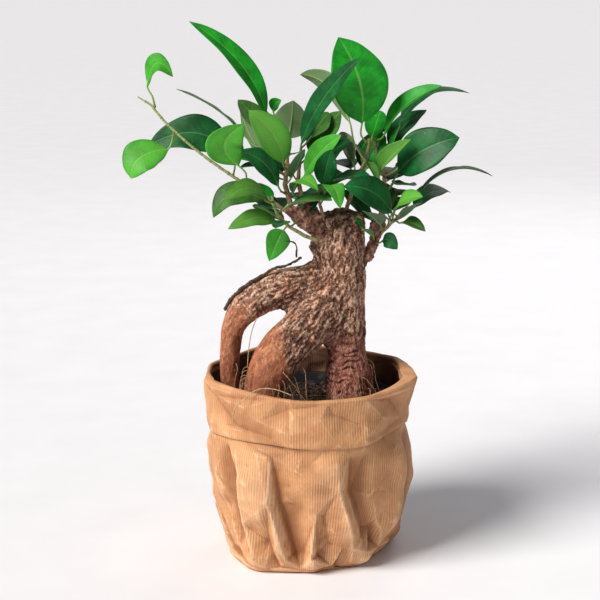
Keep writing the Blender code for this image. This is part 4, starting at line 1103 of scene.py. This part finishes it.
# rows of the bag's skin from the inner floor edge: those of the inner wall, then the row where the
# cuff turns down, its hem, the top of the gap under the cuff, and how many there are
INNER_ROWS, FOLD_END, HEM, UNDER_TOP, BAG_ROWS = 14, 18, 22, 28, 43
PAPER_KEEP = 0.45          # share of the solid's paper thickness that the sheet keeps
PAPER_STEP = 0.95 * MM     # about how far apart the fine rows lie
PAPER_SHARP, POT_SHARP = 20, 40        # edges sharper than this many degrees stay sharp
POT_CLEAR, WALL_CLEAR = 0.25 * MM, 0.55 * MM       # room that the sheet's two sides leave the pot


def bag_grid():
    """Radius and height of the bag's skin, rows from the inner floor edge round to the outer."""
    points, faces = welded("paper_bag")
    links = neighbours(len(points), faces)
    centre = np.hypot(points[:, 0], points[:, 1])
    floor_edge = [i for i, z in enumerate(points[:, 2]) if 0.2 * MM < z < 2 * MM]
    rows = levels_from(floor_edge, links)
    radius = np.zeros((BAG_ROWS, BAG_COLUMNS))
    height = np.zeros((BAG_ROWS, BAG_COLUMNS))
    for i, row in enumerate(rows):
        for v in row:
            turn = math.atan2(points[v][1], points[v][0]) / (2 * math.pi) * BAG_COLUMNS
            radius[i, round(turn) % BAG_COLUMNS] = centre[v]
            height[i, round(turn) % BAG_COLUMNS] = points[v][2]
    return radius, height


def finer_columns(values):
    """Rows of values round the bag at many more angles, creases kept fairly sharp."""
    out = []
    p0, p1, p2, p3 = (np.roll(values, shift, axis=1) for shift in (1, 0, -1, -2))
    for k in range(FINE_PER_COLUMN):
        t = k / FINE_PER_COLUMN
        straight = p1 + (p2 - p1) * t
        curved = 0.5 * (2 * p1 + (p2 - p0) * t + (2 * p0 - 5 * p1 + 4 * p2 - p3) * t * t
                        + (3 * p1 - p0 - 3 * p2 + p3) * t ** 3)
        out.append(straight * 0.45 + curved * 0.55)
    return np.stack(out, axis=2).reshape(len(values), -1)


def sheet_heights(places, lines):
    """Heights of a sheet creased along lines of corners (x, y, height) and flat between them."""
    flat = []
    tall = []
    edges = []
    for line in lines:
        for k, (x, y, height) in enumerate(line):
            flat.append(Vector((x, y)))
            tall.append(height)
            if k:
                edges.append((len(flat) - 2, len(flat) - 1))
    low = places.min(axis=0) - 50
    high = places.max(axis=0) + 50
    for x in (low[0], high[0]):
        for y in (low[1], high[1]):
            flat.append(Vector((x, y)))
            tall.append(0.0)
    found, _, faces, origin, _, _ = delaunay_2d_cdt(flat, edges, [], 0, 1e-6)
    heights = [tall[origin[i][0]] if origin[i] else 0.0 for i in range(len(found))]
    sheet = BVHTree.FromPolygons([Vector((c.x, c.y, h)) for c, h in zip(found, heights)], faces)
    out = np.zeros(len(places))
    for i, (x, y) in enumerate(places):
        hit = sheet.ray_cast(Vector((x, y, 100)), DOWN)[0]
        if hit is not None:
            out[i] = hit.z
    return out


def facets(places, size, seed):
    """Crumpled facets of one size, from -1 to 1, at (distance round, height) places in mm."""
    chance = random.Random(seed)
    around = 360 * MM_PER_DEGREE
    columns = round(around / size)
    rows = round(BAG_HEIGHT_MM / (size * 1.35))
    spots = []
    for i in range(columns):
        for j in range(rows + 1):
            x = (i + 0.5 + chance.uniform(-0.42, 0.42)) * around / columns
            y = (j + chance.uniform(-0.42, 0.42)) * BAG_HEIGHT_MM / rows
            spots.append((x, y, chance.uniform(-1, 1)))
    # once more on each side, so that the sheet closes round the bag
    wide = [(x + shift, y, h) for shift in (-around, 0, around) for x, y, h in spots]
    return sheet_heights(places, [[spot] for spot in wide if -0.3 * around < spot[0] < 1.3 * around])


def pot_profile():
    """Heights and outer radii of the pot, as stations to keep the paper clear of."""
    points, _ = welded("nursery_pot")
    reach = np.hypot(points[:, 0], points[:, 1])
    stations = np.linspace(points[:, 2].min(), points[:, 2].max(), 60)
    radii = []
    for z in stations:
        close = np.abs(points[:, 2] - z) < 4.2 * MM
        radii.append(reach[close].max() if close.any() else 0.0)
    first = reach[points[:, 2] < points[:, 2].min() + 2 * MM].max()
    radii = np.array(radii)
    missing = radii < first
    radii[missing] = np.interp(stations[missing], stations[~missing], radii[~missing])
    return stations, radii


def build_bag():
    radius, height = bag_grid()
    # the sheet keeps its outside and is thinned from within
    for k in range(INNER_ROWS):
        outer = BAG_ROWS - 1 - k
        radius[k] = radius[outer] + (radius[k] - radius[outer]) * PAPER_KEEP
    for k in range(FOLD_END, HEM + 1):
        inner = 2 * HEM + 1 - k
        radius[inner] = radius[k] + (radius[inner] - radius[k]) * PAPER_KEEP
    radius = finer_columns(radius)
    height = finer_columns(height)
    columns = BAG_COLUMNS * FINE_PER_COLUMN
    turn = np.arange(columns) / columns * 2 * math.pi
    knots = lengths_along(np.stack([radius.mean(axis=1), height.mean(axis=1)], axis=1))
    at = []
    for a, b in zip(knots, knots[1:]):
        pieces = max(2, round((b - a) / PAPER_STEP))
        at += list(a + (b - a) * np.arange(pieces) / pieces)
    at = np.array(at + [knots[-1]])
    straight, z = (np.stack([np.interp(at, knots, column) for column in values.T], axis=1)
                   for values in (radius, height))
    r = 0.5 * straight + 0.5 * through(knots, radius, at)
    row = np.interp(at, knots, np.arange(BAG_ROWS))
    r, z, crease, fold = crumpled(r, z, row, turn)
    crease = np.where(row[:, None] <= INNER_ROWS - 1, -crease, crease)
    grid = np.stack([r * np.cos(turn)[None], r * np.sin(turn)[None], z], axis=2)
    mesh = make_mesh("bag_paper", *bag_faces(grid))
    mesh.set_sharp_from_angle(angle=math.radians(PAPER_SHARP))
    apex = row[np.argmax(z.mean(axis=1))]
    # the inner wall below the rim, which the paper's material darkens as painted shade
    inside = (row < apex - 0.2)[:, None] * smoothstep(0.998, 0.970, z / z.max())
    numbers = {"crease": crease, "fold": fold, "inside": inside}
    numbers = {key: np.concatenate([[0.0, 0.0], values.reshape(-1)]) for key, values in numbers.items()}
    piece("bag_paper", mesh, paper_look(), ["paper_bag"], SLOTS["paper_bag"], **numbers)


# sharp folds of the wall, from the cuff to the foot: (degrees, share of the rim height, mm out)
WALL_FOLDS = (
    ((-76, 0.78, 1.5), (-73, 0.50, 4.0), (-60, 0.14, 4.5), (-57, 0.02, 3.0)),
    ((-66, 0.72, -1.0), (-62, 0.46, -4.0), (-51, 0.24, -4.5)),
    ((-50, 0.78, 0.5), (-48, 0.42, 1.5), (-43, 0.28, 1.0)),
    ((-30, 0.76, 0.0), (-28, 0.36, 2.5), (-30, 0.20, 3.5)),
    ((-14, 0.74, -3.0), (-10, 0.30, -3.0), (-13, 0.08, -2.0)),
    ((-119, 0.67, 2.0), (-112, 0.42, 4.0), (-104, 0.09, 3.5)),
    ((-111, 0.66, -1.5), (-107, 0.42, -4.5), (-100, 0.12, -3.5)),
    ((-85, 0.36, 0.5), (-88, 0.10, 3.0)),
    ((-80, 0.34, -1.0), (-83, 0.11, -2.5)),
    ((-136, 0.76, 2.5), (-130, 0.56, 4.0), (-131, 0.28, 4.0), (-124, 0.08, 2.5)),
    ((-143, 0.70, -3.5), (-137, 0.46, -5.0), (-136, 0.22, -3.5)),
    ((-154, 0.76, 1.5), (-152, 0.40, 2.0), (-143, 0.12, 1.0)),
    ((-173, 0.68, -2.5), (-169, 0.36, -5.0), (-163, 0.08, -5.5)),
    ((-118, 0.03, 3.0), (-116, 0.18, -2.5)),
    ((-110, 0.04, -2.0), (-109, 0.17, 2.5)),
    ((-95, 0.03, 3.0), (-93, 0.13, -2.0)),
    ((-68, 0.03, -2.5), (-66, 0.16, 2.5)),
    ((-76, 0.18, -2.0), (-72, 0.04, 2.5)),
    ((-50, 0.11, 3.5), (-41, 0.15, -3.0), (-34, 0.09, 3.0), (-24, 0.13, -2.5)),
    ((-44, 0.23, -2.5), (-37, 0.20, 2.5)),
)
# creases of the cuff, the same way
CUFF_FOLDS = (
    ((-104, 0.99, 0.3), (-101, 0.93, -1.8), (-98, 0.89, 0.2)),
    ((-80, 0.96, 0.0), (-84, 0.88, 1.4), (-92, 0.82, 1.6), (-100, 0.80, 0.5)),
    ((-77, 0.90, -0.8), (-75, 0.75, 1.8)),
    ((-128, 0.91, 1.3), (-134, 0.80, -1.2)),
    ((-118, 0.85, 1.3), (-112, 0.77, -1.0)),
    ((-60, 0.97, 1.3), (-63, 0.84, -1.5), (-58, 0.76, 1.2)),
    ((-40, 0.93, -1.4), (-46, 0.84, 1.5), (-42, 0.76, -0.8)),
    ((-22, 0.95, 1.1), (-26, 0.80, -1.4)),
    ((-150, 0.93, -1.2), (-146, 0.78, 1.3)),
)
# folds by chance round the back: from and to in degrees, then for the wall and for the cuff the
# degrees from fold to fold, the top and the foot as shares of the rim height, and mm out
REAR_FROM, REAR_TO = 3.0, 196.0
WALL_REAR, CUFF_REAR = (12.5, 0.76, 0.04, 3.4), (14.0, 0.97, 0.77, 1.3)
# size in mm of the crumpled facets between the folds
BIG_FACETS, SMALL_FACETS = 17, 8.5
# corners of the rim seen from above, in degrees
RIM_CORNERS = (-152, -99, -58, -16, 27, 74, 121, 166)
# mm along the wall for a degree, and for the whole height of the rim
MM_PER_DEGREE = 1.1
BAG_HEIGHT_MM = 119.0


def rear_folds(chance, step, top, foot, height):
    """Ridges and valleys by turns round the back of the bag."""
    lines = []
    angle = REAR_FROM
    while angle < REAR_TO:
        out = height * chance.uniform(0.5, 1.25) * (1 if len(lines) % 2 else -1.15)
        lean = chance.uniform(-0.7, 0.7) * step
        upper = top - chance.choice((0.0, 0.05, 0.3)) * (top - foot)
        lower = foot + chance.choice((0.0, 0.1, 0.35)) * (top - foot)
        middle = lower + (upper - lower) * chance.uniform(0.3, 0.7)
        lines.append(((angle - lean, upper, out * chance.uniform(0.1, 0.8)),
                      (angle + chance.uniform(-0.3, 0.3) * step, middle, out),
                      (angle + lean, lower, out * chance.uniform(0.3, 1.0))))
        angle += step * chance.uniform(0.55, 1.5)
    return lines


def fold_heights(places, lines):
    """Heights in mm of folds at (distance round, height) places in mm."""
    wide = []
    for line in lines:
        for shift in (0, 360):
            wide.append([((d + shift) * MM_PER_DEGREE, v * BAG_HEIGHT_MM, h) for d, v, h in line])
    return sheet_heights(places, wide)


def rim_corners(degrees):
    """How far the rim's flattened sides lie inside its circle, as a share of its radius."""
    corners = np.array(RIM_CORNERS + (RIM_CORNERS[0] + 360,), dtype=float)
    turned = (degrees - corners[0]) % 360 + corners[0]
    side = np.clip(np.searchsorted(corners, turned, side="right") - 1, 0, len(corners) - 2)
    half = np.radians(corners[side + 1] - corners[side]) / 2
    middle = (corners[side + 1] + corners[side]) / 2
    return np.cos(half) / np.cos(np.radians(turned - middle)) - 1


def crumpled(r, z, row, turn):
    """Radii with the sheet's folds added, and where each point is a ridge or a valley."""
    hem_z = z[np.argmin(np.abs(row - HEM))]
    rim = z.max()
    degrees = np.broadcast_to(np.degrees(turn), r.shape)
    places = np.stack([degrees, z / rim], axis=2).reshape(-1, 2) * np.array((MM_PER_DEGREE, BAG_HEIGHT_MM))
    big = facets(places, BIG_FACETS, 3).reshape(r.shape)
    small = facets(places, SMALL_FACETS, 5).reshape(r.shape)
    chance = random.Random(12)
    wall_fold, cuff_fold = (fold_heights(places, [*front, *rear_folds(chance, *rear)]).reshape(r.shape)
                            for front, rear in ((WALL_FOLDS, WALL_REAR), (CUFF_FOLDS, CUFF_REAR)))
    cuff = ((row > FOLD_END - 0.5) & (row < UNDER_TOP))[:, None]
    upper = np.where(cuff, 1.0, smoothstep(-12 * MM, -1 * MM, z - hem_z[None]))
    low = 0.35 + 0.65 * smoothstep(0.5 * MM, 9 * MM, z)
    on_wall = np.where(z > 1.5 * MM, low, 0.0) * (1 - upper)
    sides = rim_corners(np.degrees(turn))[None]
    flat = sides * CAD_HIGH[1] / MM * 0.42 + 0.6
    # the pot leaves more room inward than the cuff's shade does outward
    wall_fold = np.where(wall_fold > 0, wall_fold, 1.35 * wall_fold)
    push = (wall_fold + 1.5 * big + 0.8 * small) * on_wall
    push = push + (cuff_fold + 0.7 * big + 0.5 * small + flat) * upper
    r = r + push * MM
    # how far the sheet is pushed out or in, which the paper's material turns into painted shade in the
    # valleys and painted highlight on the outward folds
    fold = np.clip(push / 5.0, -1, 1)
    lip = smoothstep(0.88, 1.0, z / rim)
    z = z + lip * (sides * 9 + 0.35 * small - 0.3) * MM
    heights, radii = pot_profile()
    keep = np.interp(z, heights, radii, right=0.0)
    inside = row <= INNER_ROWS - 1
    outside = row >= UNDER_TOP + 1
    r[inside] = np.maximum(r[inside], keep[inside] + POT_CLEAR)
    r[outside] = np.maximum(r[outside], keep[outside] + WALL_CLEAR)
    crease = np.zeros_like(r)
    for reach in (1, 2):
        ring = np.roll(r, reach, axis=1) + np.roll(r, -reach, axis=1)
        up = np.roll(r, reach, axis=0) + np.roll(r, -reach, axis=0)
        crease += (r - 0.25 * (ring + up)) / (0.22 * MM * reach)
    steady = (inside | outside | cuff[:, 0])[:, None]
    return r, z, np.clip(np.where(steady, crease, 0.0), -1, 1), fold


def bag_faces(grid):
    rows, columns = grid.shape[:2]
    poles = np.array([[0, 0, grid[0, :, 2].mean()], [0, 0, grid[-1, :, 2].mean()]])
    faces = []
    for j in range(columns):
        k = (j + 1) % columns
        faces.append((0, 2 + j, 2 + k))
        last = 2 + (rows - 1) * columns
        faces.append((1, last + k, last + j))
        for i in range(rows - 1):
            a = 2 + i * columns
            b = a + columns
            faces.append((a + j, b + j, b + k, a + k))
    return np.concatenate([poles, grid.reshape(-1, 3)]), faces


# ---------------------------------------------------------------- pot and soil

POT_SIDES = 40
SOIL_DEPTH = 26 * MM
CRUMBS = 760
ROOTLETS, ROOTLET_TRIES = 84, 6000


def build_pot():
    mesh = make_mesh("pot_shell", *welded("nursery_pot"))
    work = bmesh.new()
    work.from_mesh(mesh)
    bmesh.ops.subdivide_edges(work, edges=work.edges[:], cuts=2, use_grid_fill=True)
    half = math.pi / POT_SIDES
    for vertex in work.verts:
        turn = math.atan2(vertex.co.y, vertex.co.x) % (2 * half)
        grow = math.cos(turn - half) / math.cos(half)
        vertex.co.x *= grow
        vertex.co.y *= grow
    work.to_mesh(mesh)
    work.free()
    mesh.shade_smooth()
    mesh.set_sharp_from_angle(angle=math.radians(POT_SHARP))
    piece("pot_shell", mesh, pot_look(), ["nursery_pot"], SLOTS["nursery_pot"])


def build_soil(wood):
    points, faces = welded("potting_soil")
    top = points[:, 2].max()
    points, normals, faces = fine_skin(points, faces, SOIL_GRID, 2, trim_below=top - SOIL_DEPTH)
    upward = smoothstep(0.2, 0.7, normals[:, 2])
    clods = rough(points, 7 * MM, 101)
    lumps = rough(points, 3.2 * MM, 102)
    grit = rough(points, 1.5 * MM, 103)
    points[:, 2] += (0.9 * clods + 0.7 * np.abs(lumps) + 0.45 * grit - 0.35) * upward * MM
    low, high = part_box("potting_soil")
    left_rear = (low[0] * 0.62, high[1] * 0.35, top)
    piece("soil_surface", (points, faces), soil_look(), ["potting_soil"], SLOTS["potting_soil"],
          moss=near(points, left_rear, 17 * MM) * smoothstep(-0.2, 0.4, lumps))
    ground = surface_of(points, faces)
    build_crumbs(ground, wood, high[0], top)
    build_rootlets(ground, wood, high)


def landing(ground, wood, x, y, top):
    """Where something dropped at (x, y) lies on the soil, or None under a root."""
    hit = ground.ray_cast(Vector((x, y, top + 30 * MM)), DOWN)[0]
    root = wood.ray_cast(Vector((x, y, top + 200 * MM)), DOWN)[0]
    if hit is None or (root is not None and root.z > hit.z):
        return None
    return hit


def chip(chance, centre, size):
    """A small irregular crumb."""
    work = bmesh.new()
    bmesh.ops.create_icosphere(work, subdivisions=1, radius=size)
    stretch = Vector((chance.uniform(0.6, 1.5), chance.uniform(0.6, 1.2), chance.uniform(0.4, 0.8)))
    turn = chance.uniform(0, math.pi)
    points = []
    for vertex in work.verts:
        co = vertex.co * chance.uniform(0.7, 1.25)
        co = Vector((co.x * stretch.x, co.y * stretch.y, co.z * stretch.z))
        x = co.x * math.cos(turn) - co.y * math.sin(turn)
        y = co.x * math.sin(turn) + co.y * math.cos(turn)
        points.append((centre.x + x, centre.y + y, centre.z + co.z))
    faces = [tuple(v.index for v in face.verts) for face in work.faces]
    work.free()
    return np.array(points), faces


def build_crumbs(ground, wood, reach, top):
    chance = random.Random(17)
    parts = []
    tones = []
    while len(parts) < CRUMBS:
        turn = chance.uniform(0, 2 * math.pi)
        away = math.sqrt(chance.random()) * (reach - 2 * MM)
        spot = landing(ground, wood, away * math.cos(turn), away * math.sin(turn), top)
        size = chance.choice((0.35, 0.45, 0.6, 0.8, 1.15)) * MM
        tone = chance.random() ** 1.5 * 0.93
        if spot is None:
            continue
        # a few green ones at the rear on the left
        if spot.x < -0.3 * reach and spot.y > 0 and chance.random() < 0.12:
            tone = 1.0
        part = chip(chance, spot + Vector((0, 0, size * 0.25)), size)
        parts.append(part)
        tones += [tone] * len(part[0])
    mesh = make_mesh("soil_crumbs", *joined(parts), smooth=False)
    piece("soil_crumbs", mesh, crumb_look(), [], "potting_mix", tone=tones)


def build_rootlets(ground, wood, soil_high):
    """Fine side roots that leave the thick ones low down and dive into the soil."""
    chance = random.Random(29)
    level = soil_high[2] - 9 * MM
    parts = []
    starts = []
    for _ in range(ROOTLET_TRIES):
        if len(parts) == ROOTLETS:
            break
        start = Vector((chance.uniform(-0.85, 0.85) * soil_high[0], chance.uniform(-0.75, 0.6) * soil_high[1],
                        level + chance.uniform(2, 34) * MM))
        hit, normal, _, distance = wood.find_nearest(start)
        if distance > 7 * MM or distance < 0.5 * MM or normal.z > 0.75:
            continue
        if any((hit - other).length < 3.2 * MM for other in starts):
            continue
        out = Vector((normal.x, normal.y, 0)).normalized()
        swing = out.cross(Vector((0, 0, 1))) * chance.uniform(-1, 1)
        reach = chance.uniform(3, 12) * MM
        x, y = (a + (b + 1.6 * c) * reach for a, b, c in zip(hit.xy, out.xy, swing.xy))
        end = landing(ground, wood, x, y, soil_high[2])
        if end is None:
            continue
        middle = (hit + end) * 0.5 + out * chance.uniform(0.5, 2.5) * MM
        middle = middle + Vector((0, 0, chance.uniform(0, 2) * MM))
        starts.append(hit)
        path, share = resampled([hit - normal * 0.6 * MM, hit + normal * 0.3 * MM, middle,
                                 end, end - Vector((0, 0, 2 * MM))], 0.8 * MM)
        path = path + 0.35 * MM * np.stack([rough(path, 2.5 * MM, 200 + k) for k in range(3)], axis=1)
        thick = chance.uniform(0.14, 0.34) * MM * (1 - 0.6 * share)
        parts.append(tube(path, thick, 6))
    look = dry_look("fine_rootlets_look", (0.16, 0.07, 0.04), (0.48, 0.30, 0.18), 0.0012)
    piece("fine_rootlets", joined(parts), look, [], "root_fibre")


# ---------------------------------------------------------------- studio

FLOOR_SIDE = 60.0
KEY_STRENGTH, KEY_WIDTH = 4.4, 28          # the key light's width in degrees softens its shadows
FILL_POWER, RIM_POWER = 0.6, 3.0
WORLD_STRENGTH = 0.21
CAMERA_LENS, CAMERA_AWAY = 88.5, 0.900
# heights of the camera and of what it looks at, as shares of the plant's
CAMERA_HEIGHT, CAMERA_AIM = 1.0985, 0.488


def build_stage():
    side = FLOOR_SIDE
    corners = [(-side, -side, 0), (side, -side, 0), (side, side, 0), (-side, side, 0)]
    floor = added("floor", make_mesh("floor", corners, [(0, 1, 2, 3)]))
    look = Look("floor_look", roughness=0.55, specular=0.3)
    pale = look.noise(0.05).ramp((0.3, 0.85, 0.85, 0.88), (0.7, 0.88, 0.88, 0.91))
    floor.data.materials.append(look.done(pale))


def aimed(name, data, place, direction):
    """A light or camera at a place, looking in a direction."""
    item = added(name, data)
    item.location = place
    item.rotation_mode = "QUATERNION"
    item.rotation_quaternion = Vector(direction).to_track_quat("-Z", "Y")
    return item


def light(name, kind, strength, colour, **settings):
    data = bpy.data.lights.new(name, kind)
    data.energy = strength
    data.color = colour
    for key, value in settings.items():
        setattr(data, key, value)
    return data


def build_lights(centre):
    key = light("key", "SUN", KEY_STRENGTH, (1.0, 0.97, 0.93), angle=math.radians(KEY_WIDTH))
    aimed("key", key, (0, 0, 0), (0.98, 0.70, -0.95))
    for name, place, size, power, colour in (("fill", (1.0, -0.9, 0.65), 1.1, FILL_POWER, (0.96, 0.97, 1.0)),
                                             ("rim", (0.5, 1.1, 1.0), 0.9, RIM_POWER, (1.0, 1.0, 1.0))):
        disk = light(name, "AREA", power, colour, shape="DISK", size=size)
        aimed(name, disk, place, centre - Vector(place))
    world = bpy.data.worlds.new("studio")
    world.use_nodes = True
    back = world.node_tree.nodes["Background"]
    back.inputs[0].default_value = (0.96, 0.96, 1.0, 1.0)
    back.inputs[1].default_value = WORLD_STRENGTH
    bpy.context.scene.world = world


def build_camera():
    """At the height of the crown, looking slightly down, from the front."""
    axis = (CAD_LOW[0] + CAD_HIGH[0]) / 2 - 7 * MM
    data = bpy.data.cameras.new("camera")
    data.lens = CAMERA_LENS
    data.sensor_width = 36
    place = Vector((axis, -CAMERA_AWAY, CAD_HIGH[2] * CAMERA_HEIGHT))
    target = Vector((axis, 0, CAD_HIGH[2] * CAMERA_AIM))
    bpy.context.scene.camera = aimed("camera", data, place, target - place)


build_camera()
build_bag()
build_pot()
trunk_surface = build_trunk()
build_stubs(trunk_surface)
build_shoots(trunk_surface)
build_leaves()
build_strands()
build_soil(trunk_surface)
build_stage()
build_lights(Vector((CAD_LOW + CAD_HIGH) / 2))
bpy.context.scene.view_settings.view_transform = "Standard"
